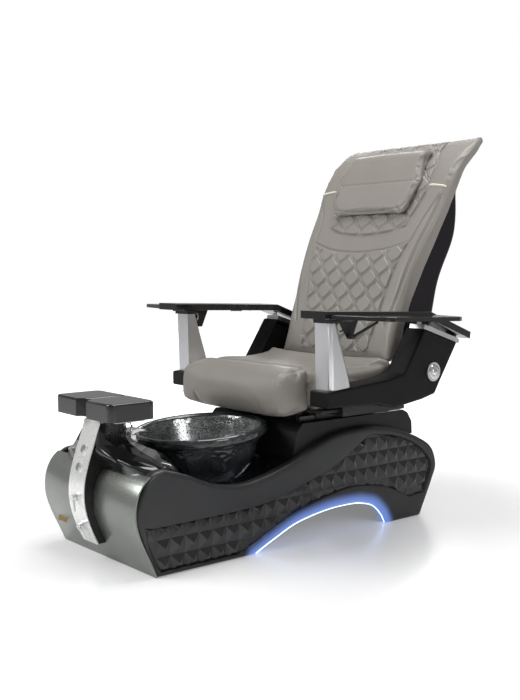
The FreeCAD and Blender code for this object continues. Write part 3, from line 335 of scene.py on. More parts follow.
def speckled():
    """Black resin full of silver flakes, crowded more in some patches than in others."""
    m = surface("bowl_inside", (0.012, 0.013, 0.014), 0.2, spread=0.3, patch=12, grain=500, depth=0.3, coat=0.5)
    t = m.node_tree
    shader = t.nodes["Principled BSDF"]
    place = wire(t, "ShaderNodeTexCoord").outputs["Object"]
    flakes = wire(t, "ShaderNodeTexVoronoi", Vector=place, Scale=620.0)
    crowd = wire(t, "ShaderNodeTexNoise", Vector=place, Scale=7.0, Detail=5.0, Roughness=0.7)
    chance = wire(t, "ShaderNodeSeparateColor", Color=flakes.outputs["Color"])
    cut = wire(t, "ShaderNodeMapRange", Value=crowd.outputs[0], From_Min=0.35, From_Max=0.65, To_Min=0.9, To_Max=0.34)
    on = wire(t, "ShaderNodeMath", {"operation": "GREATER_THAN"})
    t.links.new(chance.outputs[0], on.inputs[0])
    t.links.new(cut.outputs[0], on.inputs[1])
    mix = wire(t, "ShaderNodeMix", {"data_type": "RGBA"})
    t.links.new(on.outputs[0], mix.inputs["Factor"])
    t.links.new(t.nodes["Color Ramp"].outputs[0], mix.inputs[6])
    mix.inputs[7].default_value = (0.46, 0.48, 0.48, 1)
    t.links.new(mix.outputs[2], shader.inputs["Base Color"])
    shine = wire(t, "ShaderNodeMath", {"operation": "MULTIPLY"})
    t.links.new(on.outputs[0], shine.inputs[0])
    shine.inputs[1].default_value = 0.8
    t.links.new(shine.outputs[0], shader.inputs["Metallic"])
    return m


LAMP = lamp()
BOWL_IN = speckled()


def painted_glow_panel():
    """The charcoal panel with a painted blue glow near the light strip, standing in for the strip's light on the panel:
    the mesh carries its distance in metres.
    """
    m = PANEL.copy()
    m.name = "charcoal_panel_painted_glow"
    t = m.node_tree
    shader = t.nodes["Principled BSDF"]
    away = wire(t, "ShaderNodeAttribute", {"attribute_name": "away"})
    near = wire(t, "ShaderNodeMapRange", {"interpolation_type": "SMOOTHERSTEP"}, Value=away.outputs["Fac"],
                From_Min=0.0, From_Max=0.052, To_Min=1.0, To_Max=0.0)
    ramp = wire(t, "ShaderNodeValToRGB", Fac=near.outputs[0])
    ramp.color_ramp.elements[0].color = (0, 0, 0, 1)
    ramp.color_ramp.elements[1].color = (0.16, 0.27, 0.72, 1)
    t.links.new(ramp.outputs[0], shader.inputs["Emission Color"])
    # painted glow: blue emission on the panel, strongest next to the strip, stands in for the strip's light falling on
    # it
    shader.inputs["Emission Strength"].default_value = 0.9
    return m


PANEL_PAINTED_GLOW = painted_glow_panel()


# ------------------------------------------------------------------- CAD nodes that stay shown

FINISH = {
    "base_frame": PAINT, "carriage_frame": PAINT, "back_frame": PAINT, "levelling_feet": RUBBER,
    "water_hoses": RUBBER, "front_drum": PEWTER, "tub_deck": GLOSS, "rear_cover": PANEL, "mains_inlet": MATTE,
    "drain_pump": MATTE, "control_box": MATTE, "arm_shell": MATTE, "plinth_cover": COVER, "footrest_pad": GLOSS,
    "footrest_latch": GLOSS, "armrest": GLOSS, "tray_bracket": PAINT, "tray_stay": PAINT, "tray_ring": STEEL,
    "tray": GLOSS, "post_caps": GLOSS, "led_strips": LAMP, "column_faceplate": FACE_METAL, "jet_button": CHROME,
    "drain_button": CHROME, "hot_lever": CHROME, "cold_lever": CHROME, "bowl_spout": CHROME, "bowl_drain": CHROME,
    "pivot_caps": SATIN, "column_sleeve": STEEL, "slide_rails": RAIL, "slide_motor": STEEL,
    "recline_actuator": STEEL, "recline_rod": CHROME, "jet_motor": STEEL, "mixing_valve": STEEL,
    "column_casing": GLOSS, "footrest_mast": STEEL, "massage_unit": STEEL, "massage_rollers": RUBBER, "arm_post": SATIN,
    "rear_mounts": SATIN, "seat_pan": PLYWOOD, "back_shell": SHELL_BLACK,
}
BEVEL = {
    "arm_shell": 5.0, "arm_post": 11.0, "armrest": 2.2, "tray": 1.6, "tray_bracket": 0.8, "tray_stay": 0.8,
    "plinth_cover": 5.0, "footrest_pad": 6.0, "footrest_latch": 1.0, "post_caps": 2.0, "rear_mounts": 1.5,
    "carriage_frame": 1.0, "back_frame": 1.0, "base_frame": 1.0, 
    "pivot_caps": 1.0, "front_drum": 1.2, "tub_deck": 1.5, "rear_cover": 2.0, "slide_rails": 0.6, "control_box": 2.0,
    "drain_pump": 1.2, "mixing_valve": 1.0, "recline_actuator": 1.0, "jet_motor": 1.0, "massage_unit": 1.0,
    "seat_pan": 1.0, "back_shell": 4.0, "jet_button": 0.6, "drain_button": 0.6,
}


def family(name):
    return name.rsplit("_", 1)[0] if name.endswith(("_left", "_right")) else name


for name, node in nodes.items():
    kind = family(name)
    finish = FINISH.get(kind, FINISH.get(name))
    if finish:
        node.data.materials.clear()
        node.data.materials.append(finish)
    if kind in BEVEL:
        weld = node.modifiers.new("weld", "WELD")
        weld.merge_threshold = 0.00002
        bevel = node.modifiers.new("bevel", "BEVEL")
        bevel.width = BEVEL[kind] / 1000
        bevel.segments = 3
        bevel.limit_method = "ANGLE"
        bevel.angle_limit = math.radians(40)
        bevel.harden_normals = True
        bevel.use_clamp_overlap = True


# -------------------------------------------------------------------------------- side panels

NOSE = [(0, 0), (-50, 108), (-78, 212), (-42, 311)]
CREST = [(28, 344), (122, 315), (242, 266), (378, 254), (554, 294), (699, 349), (798, 377), (936, 387), (1047, 376),
         (1122, 358)]
TAIL = [(1239, 313), (1312, 267), (1339, 195), (1315, 131), (1246, 0)]
ARCH = [(1050, 0), (1028, 40), (984, 81), (935, 98), (876, 107), (748, 105), (602, 82), (500, 45), (395, 0)]
INLAY_TOP = [(-46, 170), (0, 163), (190, 164), (351, 167), (478, 178), (620, 214), (765, 258), (853, 302), (940, 352)]
INLAY_REAR = [(974, 357), (1085, 339), (1200, 299), (1281, 238), (1302, 187), (1262, 92)]
INLAY_FOOT = [(1173, 87), (1049, 143), (905, 168), (798, 164), (667, 140), (552, 104), (417, 47), (330, 14)]


def panel_outline():
    front = smooth(NOSE, 10)
    over = smooth(CREST + TAIL[:-1] + [TAIL[-1]], 10)
    under = smooth(ARCH, 12)
    turned = smooth([NOSE[-1], (-24, 330), (0, 341), CREST[0]], 5)
    return even(np.vstack([front[:-1], turned[:-1], over, under]), 7, closed=True)


def inlay_outline():
    line = np.vstack([smooth(INLAY_TOP, 8), smooth(INLAY_REAR, 8), smooth(INLAY_FOOT, 8), [(14, 14)],
                      smooth([(-6, 30), (-30, 90), (-46, 168)], 6)])
    return even(line, 7, closed=True)


def filled(outer, inner, height, flip):
    """Triangles between an outer and an inner loop."""
    bm = bmesh.new()
    edges = []
    for loop in (outer, inner):
        vs = [bm.verts.new((height, y, z)) for y, z in loop]
        edges += [bm.edges.new((vs[i], vs[(i + 1) % len(vs)])) for i in range(len(vs))]
    bmesh.ops.triangle_fill(bm, edges=edges, use_beauty=True, normal=(flip, 0, 0))
    bm.verts.index_update()
    verts = [tuple(v.co) for v in bm.verts]
    faces = [tuple(v.index for v in f.verts) for f in bm.faces]
    bm.free()
    return verts, faces


def side_panel(name, side):
    outer = counter_clockwise(panel_outline())
    inner = counter_clockwise(inlay_outline())
    rim, parts = 17.0, []
    steps = 8
    rings = [(0, 266.0)]
    rings += [(rim * (1 - math.cos(a)), 300 - rim + rim * math.sin(a)) for a in np.linspace(0, math.pi / 2, steps)]
    verts = []
    for d, x in rings:
        verts += [(x, y, z) for y, z in inward(outer, d)]
    faces = strips(len(rings), len(outer))
    faces.append(tuple(range(len(outer)))[::-1])
    parts.append((verts, faces))
    edge = inward(outer, rim)
    lip = inward(inner, -1.6)
    parts.append(filled(edge, lip, 300.0, 1))
    wall = []
    for d, x in ((-1.6, 300.0), (-0.5, 299.6), (0, 298.6), (0, 292.0)):
        wall += [(x, y, z) for y, z in inward(inner, d)]
    parts.append((wall, strips(4, len(inner))))
    parts.append(([(292.0, y, z) for y, z in inner], [tuple(range(len(inner)))]))
    v, f = together(parts)
    v = [(side * x, y, max(z, 1.5)) for x, y, z in v]
    if side < 0:
        f = [tuple(reversed(face)) for face in f]
    obj = make("panel_shell_" + name, v, f, PANEL_PAINTED_GLOW, None, sharp=30)
    bm = bmesh.new()
    bm.from_mesh(obj.data)
    bmesh.ops.remove_doubles(bm, verts=bm.verts, dist=0.00003)
    bmesh.ops.recalc_face_normals(bm, faces=bm.faces)
    bm.to_mesh(obj.data)
    bm.free()
    arch = KDTree(400)
    line = even(smooth(ARCH, 12), 4)
    for i, (y, z) in enumerate(line[:400]):
        arch.insert(at(0, y, z), i)
    arch.balance()
    # the distance to the arch sets where the panel's painted blue glow shows
    away = obj.data.attributes.new("away", "FLOAT", "POINT")
    away.data.foreach_set("value", [arch.find(Vector((0, v.co.y, v.co.z)))[2] for v in obj.data.vertices])
    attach(obj, "base")
    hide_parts("side_panel_" + name)


def inlay(name, side):
    """The lower field: square pyramids that share their edges, cut by the field's outline."""
    pitch, base, peak = 56.0, 292.4, 306.0
    loop = inward(counter_clockwise(inlay_outline()), 2.2)
    points = [Vector(p) for p in loop]
    n = len(points)
    edges = []
    y0, z0 = -60.0, 8.0
    for a in range(26):
        for b in range(8):
            cy, cz = y0 + a * pitch, z0 + b * pitch
            corners = [(cy, cz), (cy + pitch, cz), (cy + pitch, cz + pitch), (cy, cz + pitch)]
            first = len(points)
            points += [Vector(c) for c in corners] + [Vector((cy + pitch / 2, cz + pitch / 2))]
            edges += [(first + k, first + (k + 1) % 4) for k in range(4)]
            edges += [(first + k, first + 4) for k in range(4)]
    verts, _, faces, *_ = delaunay_2d_cdt(points, edges, [list(range(n))], 1, 0.01)

    def height(y, z):
        fy, fz = ((y - y0) / pitch) % 1, ((z - z0) / pitch) % 1
        return 1 - 2 * max(abs(fy - 0.5), abs(fz - 0.5))

    tree = KDTree(n)
    for i in range(n):
        tree.insert((points[i].x, points[i].y, 0), i)
    tree.balance()
    out = []
    for v in verts:
        d = tree.find((v.x, v.y, 0))[2]
        h = height(v.x, v.y) * min(1, 0.15 + d / 22)
        out.append((side * (base + (peak - base) * h), v.x, v.y))
    ring = np.array(loop)
    ahead = np.roll(ring, -1, 0)

    def within(y, z):
        crossed = (ring[:, 1] > z) != (ahead[:, 1] > z)
        reach = ring[:, 0] + (z - ring[:, 1]) * (ahead[:, 0] - ring[:, 0]) / (ahead[:, 1] - ring[:, 1] + 1e-12)
        return np.count_nonzero(crossed & (y < reach)) % 2 == 1

    middle = lambda f: (sum(verts[i].x for i in f) / len(f), sum(verts[i].y for i in f) / len(f))
    faces = [tuple(f) for f in faces if within(*middle(f))]
    obj = make("inlay_" + name, out, faces, INLAY, None, sharp=1)
    bm = bmesh.new()
    bm.from_mesh(obj.data)
    bmesh.ops.delete(bm, geom=[v for v in bm.verts if not v.link_faces], context="VERTS")
    bmesh.ops.recalc_face_normals(bm, faces=bm.faces)
    if sum(f.normal.x * f.calc_area() for f in bm.faces) * side < 0:
        bmesh.ops.reverse_faces(bm, faces=bm.faces)
    rim = [e for e in bm.edges if e.is_boundary]
    grown = bmesh.ops.extrude_edge_only(bm, edges=rim)["geom"]
    for v in grown:
        if isinstance(v, bmesh.types.BMVert):
            v.co.x -= side * 0.002
    bm.to_mesh(obj.data)
    bm.free()
    bevel = obj.modifiers.new("bevel", "BEVEL")
    bevel.width, bevel.segments, bevel.limit_method = 0.0015, 2, "ANGLE"
    bevel.angle_limit = math.radians(12)
    settle(obj)
    obj.data.set_sharp_from_angle(angle=math.radians(50))
    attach(obj, "base")
    return obj


def light_line(side):
    """The lit edge of the strip, lying along the arch just inside the panel's rim."""
    line = even(smooth(ARCH, 12), 8)
    under = [Vector((side * 289, y, z - 3.5)) for y, z in line if z > 4]
    return tube(under, 1.3, 8)


for name, side in SIDES:
    side_panel(name, side)
strip = make("light_line", *together([light_line(side) for _, side in SIDES]), LAMP, "base", sharp=0)
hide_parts("led_strips")
inlays = [inlay(name, side) for name, side in SIDES]
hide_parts("panel_inlays")


# ------------------------------------------------------------------------------------- column

FLARE = [(300, 268, -36, 152), (326, 266, -46, 144), (345, 250, -56, 134), (358, 214, -66, 116), (372, 164, -78, 92),
         (390, 120, -84, 70), (410, 94, -84, 56), (440, 74, -74, 47), (470, 64, -66, 46)]


FACE = [(-70, 65), (-100, 130), (-122, 215), (-120, 280), (-93, 376), (-59, 480)]


def saddle():
    """The black form that sweeps up from the drum and the deck to the column."""
    track = smooth(FLARE, 12)
    face = smooth(FACE, 8)
    verts = []
    ring = 160
    for height, half, front, rear in track:
        centre, deep = (front + rear) / 2, (rear - front) / 2
        power = 2.0 / (2.6 + 1.4 * max(0, (400 - height) / 100))
        for k in range(ring):
            a = 2 * math.pi * k / ring
            c, s = math.cos(a), math.sin(a)
            x = half * math.copysign(abs(c) ** power, c)
            y = centre + deep * math.copysign(abs(s) ** power, s)
            plate = float(np.interp(height, face[:, 1], face[:, 0])) + 9
            verts.append((x, max(y, plate), height))
    faces = strips(len(track), ring)
    faces.append(tuple(range(len(verts) - ring, len(verts))))
    return verts, faces


def plain(loop, x0, x1, radius, name, material, body, sharp=35):
    return make(name, *slab(loop, x0, x1, radius), material, body, sharp)


# ------------------------------------------------------------------------------- foot bowl

BOWL = [(0, -181), (60, -181), (112, -180), (138, -166), (160, -146), (179, -112), (194, -78), (204, -48), (212, -26),
        (218, -9), (226, -1), (235, 1), (242, -4), (244, -14), (243, -26), (236, -32), (226, -31), (216, -46),
        (204, -75), (189, -114), (168, -150), (142, -176), (115, -190), (60, -192), (0, -192)]


def wander(q):
    """A smooth vector that changes from place to place, the same in every run."""
    return Vector([noise.noise(q + Vector(shift)) for shift in ((9.3, -1.5, -8.0), (2.7, 6.1, 4.4), (-5.2, 3.3, 7.9))])


def bowl_point(p, angle, index):
    x, y, z = p
    r = math.hypot(x, y)
    if r > 1:
        c, s = x / r, y / r
        if 0.30 < index < 0.66:
            q = Vector((c * 6, s * 6, z / 40))
            wave = noise.noise(q * 1.7) * 1.6 + noise.noise(q * 4.1) * 0.9
            r += wave
            z += 0.8 * noise.noise(q * 3 + Vector((9, 0, 0)))
        elif index >= 0.66:
            bend = Vector((c * 2.1, s * 2.1, z / 75))
            swirl = noise.noise(bend + 0.9 * wander(bend * 1.6))
            ridge = 1 - abs(math.sin(9 * swirl + 2 * angle))
            fade = min(1, (-z - 26) / 25, (196 + z) / 30) if -z > 26 else 0
            r += 3.4 * max(0, fade) * (ridge**1.5 - 0.3)
        x, y = r * c, r * s
    tip = math.radians(4.5)
    return (x, 383 + y * math.cos(tip) - z * math.sin(tip), 411 + y * math.sin(tip) + z * math.cos(tip))


def bowl():
    profile = smooth(BOWL[1:-1], 7)
    total = len(profile)
    segments = 220
    verts = []
    for i, (r, z) in enumerate(profile):
        for k in range(segments):
            a = 2 * math.pi * k / segments
            verts.append(bowl_point((r * math.cos(a), r * math.sin(a), z), a, i / total))
    faces = strips(total, segments)
    faces.append(tuple(range(segments)))
    faces.append(tuple(range(len(verts) - 1, len(verts) - 1 - segments, -1)))
    obj = make("spa_bowl", verts, faces, BOWL_IN, "base", sharp=60)
    obj.data.materials.append(BOWL_OUT)
    rim = int(total * 0.36)
    for face in obj.data.polygons:
        ring = min(face.vertices) // segments
        face.material_index = 1 if ring >= rim else 0
    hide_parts("foot_bowl")


bowl()
flare = make("column_saddle", *saddle(), GLOSS, "base", sharp=60)


# -------------------------------------------------------------------------------- upholstery


def simulate(obj, voxel=0.006, cap=0.02, pressure=4.0, limit=None):
    """Blows the closed form up as a leather cover over foam, and settles the result."""
    remesh = obj.modifiers.new("remesh", "REMESH")
    remesh.mode, remesh.voxel_size = "VOXEL", voxel
    settle(obj)
    start = coordinates(obj)
    cloth = obj.modifiers.new("cloth", "CLOTH")
    c = cloth.settings
    c.quality = 4
    c.mass = 0.3
    c.use_pressure = True
    c.uniform_pressure_force = pressure
    c.tension_stiffness = c.compression_stiffness = 15
    c.bending_stiffness = 0.6
    c.effector_weights.gravity = 0
    for f in range(1, 21):
        scene.frame_set(f)
    swollen = obj.evaluated_get(bpy.context.evaluated_depsgraph_get()).to_mesh()
    co = np.empty(len(swollen.vertices) * 3, np.float32)
    swollen.vertices.foreach_get("co", co)
    co = co.reshape(-1, 3).astype(float)
    obj.evaluated_get(bpy.context.evaluated_depsgraph_get()).to_mesh_clear()
    obj.modifiers.clear()
    scene.frame_set(1)
    moved = co - start
    length = np.linalg.norm(moved, axis=1, keepdims=True)
    moved *= np.minimum(1, cap / np.maximum(length, 1e-9))
    set_coordinates(obj, start + moved)
    subdivision = obj.modifiers.new("subdivision", "SUBSURF")
    subdivision.levels = subdivision.render_levels = 1
    settle(obj)
    if limit:
        set_coordinates(obj, limit(coordinates(obj)))


def tree_of(obj):
    bm = bmesh.new()
    bm.from_mesh(obj.data)
    tree = BVHTree.FromBMesh(bm)
    bm.free()
    return tree


def cut(obj, lines, depth=0.003, width=0.005):
    """Draws the cover in along seam lines given in row metres."""
    points = [Vector(q) for line in lines for q in even([list(p) for p in line], 0.002)]
    kd = KDTree(len(points))
    for i, p in enumerate(points):
        kd.insert(p, i)
    kd.balance()
    co, n = coordinates(obj), normals(obj)
    for i, p in enumerate(co):
        d = kd.find(p)[2]
        if d < 3 * width:
            co[i] -= n[i] * depth * math.exp(-((d / width) ** 2))
    set_coordinates(obj, co)


def on_skin(tree, points, direction, back=0.08, lift=0.0):
    """Points dropped on a cushion along a direction, and the normals there."""
    d = Vector(direction).normalized()
    found = []
    for p in points:
        hit, normal, *_ = tree.ray_cast(Vector(p) - d * back, d)
        if hit:
            found.append((hit + normal * lift, normal))
    return found


def stitches(name, points, body, gap=0.0065, long=0.0042, thick=0.0006):
    """A row of single thread stitches lying along a line of (point, normal)."""
    line = even([list(p) for p, _ in points], gap)
    parts = []
    for a, b in zip(line[:-1], line[1:]):
        a, b = Vector(a), Vector(b)
        d = (b - a).normalized()
        parts.append(tube([a, a + d * long * 0.25, a + d * long * 0.75, a + d * long], thick, 6))
    v, f = together(parts)
    obj = make(name, v, f, THREAD, body, sharp=0, scale=1)
    return obj


def cord_line(name, points, body, radius, material=None):
    line = smooth([list(p) for p, _ in points], 3)
    obj = make(name, *tube(line, radius, 10), material or LEATHER, body, sharp=0, scale=1)
    return obj


# seat: a deep front roll, and a wider and lower rear part

ROLL = [(640, 462), (540, 456), (500, 478), (497, 560), (522, 612), (600, 628), (655, 628), (668, 560), (664, 480)]
REAR = [(652, 482), (650, 560), (662, 604), (720, 613), (850, 612), (960, 623), (1012, 643), (1030, 630), (1034, 560),
        (1030, 482)]


def lofted(front, rear, half, radius, stations=90, corner=6):
    """A long pad between a front and a rear line in y-z: rounded sections, rounded at both ends."""
    front, rear = even(smooth(front, 10), 2), even(smooth(rear, 10), 2)
    verts = []
    for k in range(stations):
        t = k / (stations - 1)
        t = t - 0.11 * math.sin(2 * math.pi * t) / math.pi
        f, r = (line[min(len(line) - 1, round(t * (len(line) - 1)))] for line in (front, rear))
        thick = float(np.linalg.norm(r - f))
        end = min(t, 1 - t) * 950
        reach = min(radius, 0.48 * thick)
        inset = reach - math.sqrt(reach**2 - max(0, reach - end) ** 2)
        wide, deep = half((f[1] + r[1]) / 2) - inset, thick / 2 - inset
        bend = min(radius, 0.92 * deep)
        for sx, sv in ((1, -1), (1, 1), (-1, 1), (-1, -1)):
            for i in range(corner):
                a = math.pi / 2 * i / (corner - 1)
                c, s_ = (math.sin(a), math.cos(a)) if sx * sv < 0 else (math.cos(a), math.sin(a))
                x, v = sx * (wide - bend + bend * c), sv * (deep - bend + bend * s_)
                y, z = (f + r) / 2 + (r - f) / thick * v
                verts.append((x, y, z))
    size = 4 * corner
    faces = strips(stations, size)
    faces += [tuple(range(size))[::-1], tuple(range((stations - 1) * size, stations * size))]
    return verts, faces


def cushion(name, shape, replaces=None, body="carriage", fill=0.7, **sim):
    """A padded form of the given shape, simulated as a stuffed cover."""
    obj = make(name, *shape, LEATHER, None, sharp=0)
    simulate(obj, **sim)
    if replaces:
        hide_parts(replaces)
    return obj


def block(loop, half, rounding, shrink, width=None):
    """An outline in y-z made thick over its half-width in x; width can vary it with height."""
    line = counter_clockwise(even(smooth(loop, 8, closed=True), 9, closed=True))
    verts, faces = slab(inward(line, shrink), -half + shrink, half - shrink, rounding, 6)
    if width:
        verts = [(x * width(z) / half, y, z) for x, y, z in verts]
    return verts, faces


def keep_inside(low, high):
    low, high = at(*low), at(*high)

    def limit(co):
        return np.clip(co, list(low), list(high))

    return limit


seat_roll = cushion("seat_roll", block(ROLL, 300, 34, 8), "seat_cushion", cap=0.016, limit=keep_inside((-306, 488, 450), (306, 690, 640)))
seat_rear = cushion("seat_rear", block(REAR, 358, 26, 5), cap=0.014, limit=keep_inside((-361, 640, 477.5), (361, 1032, 650)))



def end_seams(obj, half=272, centre=(580, 548)):
    """Draws in the seam round each end of the roll, with small puckers beside it."""
    co, n = coordinates(obj), normals(obj)
    off = np.abs(co[:, 0]) * 1000 - half
    around = np.arctan2(co[:, 2] * 1000 - centre[1], co[:, 1] * 1000 + ROW_BACK - centre[0])
    side_on = np.sqrt(np.clip(1 - n[:, 0] ** 2, 0, 1))
    groove = 2.8 * np.exp(-((off / 4.5) ** 2))
    pucker = 1.3 * np.exp(-(((off - 11) / 7) ** 2)) * (0.5 + 0.5 * np.cos(around * 26)) * side_on
    set_coordinates(obj, co - n * ((groove + pucker) / 1000)[:, None])


end_seams(seat_roll)

BACK_FRONT = [(1040, 609), (1080, 760), (1110, 855), (1148, 975), (1207, 1090), (1277, 1210), (1320, 1305), (1380, 1392),
              (1455, 1455), (1510, 1487), (1554, 1501)]
BACK_REAR = [(1562, 1489), (1545, 1472), (1477, 1418), (1407, 1355), (1358, 1258), (1322, 1181), (1276, 1086),
             (1227, 971), (1177, 861), (1150, 790), (1126, 700), (1110, 626)]
BACK_SIDE = [(311, 600), (316, 855), (324, 975), (345, 1090), (360, 1210), (368, 1305), (372, 1400), (368, 1450),
             (352, 1482), (322, 1502)]


def back_half(z):
    return float(np.interp(z, [p[1] for p in BACK_SIDE], [p[0] for p in BACK_SIDE]))


back = cushion("back_rest", lofted(BACK_FRONT, BACK_REAR[::-1], back_half, 17), "back_cushion", body="backrest",
               voxel=0.006, cap=0.008, limit=keep_inside((-377, 1037, 606), (377, 1566, 1506)))

front_line = even(smooth(BACK_FRONT, 10), 3)
front_along = np.r_[0, np.cumsum(np.linalg.norm(np.diff(front_line, axis=0), axis=1))]
back_tree = tree_of(back)


def on_face(x, z):
    """The point of the back cushion's face over (x, z), its normal, and whether the face is there."""
    y = float(np.interp(z, front_line[:, 1], front_line[:, 0]))
    k = min(len(front_line) - 2, int(np.searchsorted(front_line[:, 1], z)))
    d = front_line[k + 1] - front_line[k]
    d /= np.linalg.norm(d)
    out = Vector((0, -d[1], d[0]))
    hit, normal, *_ = back_tree.ray_cast(at(x, y, z) + out * 0.09, -out)
    missed = hit is None or (hit - at(x, y, z)).length > 0.03 or normal.dot(out) < 0.35
    return (at(x, y, z), out, False) if missed else (hit, normal, True)


def drawn(points, spacing=8.0):
    """A smooth seam line over (x, z) points, dropped on the face."""
    found = [on_face(x, z) for x, z in even(smooth(points, 6), spacing)]
    return [(p, n) for p, n, there in found if there]


def mirrored(points):
    return [(-x, z) for x, z in points]


LOWER_EDGE = [(196, 700), (206, 770), (218, 850), (232, 935), (250, 1019), (267, 1084)]
BOLSTER = [(267, 1084), (284, 1164), (304, 1215), (328, 1262)]
UPPER_EDGE = [(212, 1136), (232, 1200), (255, 1270), (262, 1310), (255, 1370), (222, 1430), (203, 1484)]
LOWER_TOP = [(267, 1080), (180, 1054), (90, 1041), (0, 1037), (-90, 1041), (-180, 1054), (-267, 1080)]
UPPER_FOOT = [(212, 1137), (140, 1118), (60, 1108), (0, 1106), (-60, 1108), (-140, 1118), (-212, 1137)]
RIDGE = [(254, 760), (276, 838), (290, 905), (299, 975), (309, 1060), (323, 1150), (331, 1210), (334, 1258)]
PIPE = [(264, 1301), (300, 1298), (346, 1292)]

seams = [LOWER_TOP, UPPER_FOOT]
for line in (LOWER_EDGE, BOLSTER, UPPER_EDGE, RIDGE):
    seams += [line, mirrored(line)]
drops = [drawn(line) for line in seams]
cut(back, [[p for p, _ in line] for line in drops], depth=0.0042, width=0.0055)
back_tree = tree_of(back)


def quilt(name, inside, low, high, half, body="backrest"):
    """A panel of quilted leather sewn over the face: paired wavy channels that make pointed ovals."""
    step = 2.0
    z_at = lambda s: (np.interp(s, front_along, front_line[:, 0]), np.interp(s, front_along, front_line[:, 1]))
    s0 = float(np.interp(low, front_line[:, 1], front_along))
    s1 = float(np.interp(high, front_line[:, 1], front_along))
    xs = np.arange(-half, half + step, step)
    ss = np.arange(s0, s1 + step, step)
    pitch, period, reach = 48.0, 104.0, 19.0
    verts, index, faces = [], {}, []
    for j, s in enumerate(ss):
        y, z = z_at(s)
        for i, x in enumerate(xs):
            edge = inside(x, z)
            if edge < -step * 1.5:
                continue
            wave = math.sin(2 * math.pi * s / period)
            wave = math.copysign(abs(wave) ** 0.8, wave) * reach
            nearest = 99.0
            cell = round(x / pitch)
            for c in (cell - 1, cell, cell + 1):
                centre = c * pitch + (wave if c % 2 else -wave)
                slope = reach * 2 * math.pi / period * abs(math.cos(2 * math.pi * s / period))
                nearest = min(nearest, abs(x - centre) / math.hypot(1, slope))
            puff = 1 - math.exp(-(((nearest - 4.6) / 2.9) ** 2)) - 0.18 * math.exp(-((nearest / 5.0) ** 2))
            rise = -1.6 + min(1, max(0, edge) / 7) * (1.6 + 5.2 * puff)
            p, n, _ = on_face(x, z)
            index[i, j] = len(verts)
            verts.append(p + n * rise / 1000)
    for (i, j), a in index.items():
        if all(k in index for k in ((i + 1, j), (i + 1, j + 1), (i, j + 1))):
            faces.append((a, index[i + 1, j], index[i + 1, j + 1], index[i, j + 1]))
    obj = make(name, verts, faces, LEATHER, body, sharp=0, scale=1)


def lower_inside(x, z):
    half = float(np.interp(z, [p[1] for p in LOWER_EDGE], [p[0] for p in LOWER_EDGE]))
    top = float(np.interp(x, [p[0] for p in LOWER_TOP[::-1]], [p[1] for p in LOWER_TOP[::-1]]))
    return min(half - abs(x), top - z)


def upper_inside(x, z):
    half = float(np.interp(z, [p[1] for p in UPPER_EDGE], [p[0] for p in UPPER_EDGE]))
    foot = float(np.interp(x, [p[0] for p in UPPER_FOOT[::-1]], [p[1] for p in UPPER_FOOT[::-1]]))
    return min(half - abs(x), z - foot, 1486 - z)


quilt("quilt_lower", lower_inside, 652, 1086, 270)
quilt("quilt_upper", upper_inside, 1102, 1492, 266)

for tag, flip in (("left", lambda p: p), ("right", mirrored)):
    cord_line("piping_" + tag, drawn(flip(PIPE), 12), "backrest", 0.0042, PIPING)
    cord_line("welt_ridge_" + tag, drawn(flip(RIDGE), 12), "backrest", 0.0027)
    cord_line("welt_bolster_" + tag, drawn(flip(BOLSTER), 12), "backrest", 0.0024)
    shift = [(x - 7, z) for x, z in RIDGE]
    stitches("stitches_ridge_" + tag, drawn(flip(shift)), "backrest")
    stitches("stitches_bolster_" + tag, drawn(flip([(x + 7, z) for x, z in LOWER_EDGE + BOLSTER[1:]])), "backrest")
    stitches("stitches_upper_" + tag, drawn(flip([(x + 6, z) for x, z in UPPER_EDGE])), "backrest")
stitches("stitches_lower_top", drawn([(x, z + 6) for x, z in LOWER_TOP]), "backrest")
stitches("stitches_upper_foot", drawn([(x, z - 6) for x, z in UPPER_FOOT]), "backrest")


# head pillow

PILLOW = [(1232, 1188), (1242, 1236), (1289, 1321), (1330, 1400), (1364, 1446), (1424, 1440), (1368, 1388),
          (1306, 1290), (1262, 1198)]


def pillow_half(z):
    return float(np.interp(z, [1182, 1196, 1218, 1321, 1436, 1450], [178, 198, 210, 236, 206, 198]))


pillow = cushion("pillow", block(PILLOW, 236, 12, 3, pillow_half), "head_pillow", body="backrest", cap=0.009,
                 voxel=0.005)
pillow_tree = tree_of(pillow)


def pillow_line(points, lift=0.0):
    line = even(smooth(points, 6), 8)
    out = Vector((0, 0.9, -0.43)).normalized()
    ends = []
    for x, z in line:
        y = float(np.interp(z, [1196, 1240, 1321, 1400, 1446], [1238, 1246, 1289, 1330, 1364]))
        hit, normal, *_ = pillow_tree.ray_cast(at(x, y, z) - out * 0.1, out)
        if hit:
            ends.append((hit + normal * lift, normal))
    return ends


crease = pillow_line([(-228, 1322), (0, 1322), (228, 1322)])
band = pillow_line([(-190, 1436), (-216, 1380), (-224, 1321), (-208, 1260), (-180, 1216), (-90, 1206), (0, 1203),
                    (90, 1206), (180, 1216), (208, 1260), (224, 1321), (216, 1380), (190, 1436)])
cut(pillow, [[p for p, _ in crease]], depth=0.004, width=0.005)
cut(pillow, [[p for p, _ in band]], depth=0.002, width=0.004)

for piece in (back, pillow):
    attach(piece, "backrest")
for piece in (seat_roll, seat_rear):
    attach(piece, "carriage")


# ------------------------------------------------------------------------------ small details


def disc(name, centre, axis, profile, material, body, segments=64):
    """A turned detail at a point, from (r, height) in millimetres along an axis."""
    turn = Vector((0, 0, 1)).rotation_difference(Vector(axis)).to_matrix().to_4x4()
    v, f = revolve(profile, segments)
    v = [at(*centre) + turn @ (Vector(p) / 1000) for p in v]
    obj = make(name, v, f + [tuple(range(len(v) - segments, len(v)))], material, body, sharp=35, scale=1)
    return obj


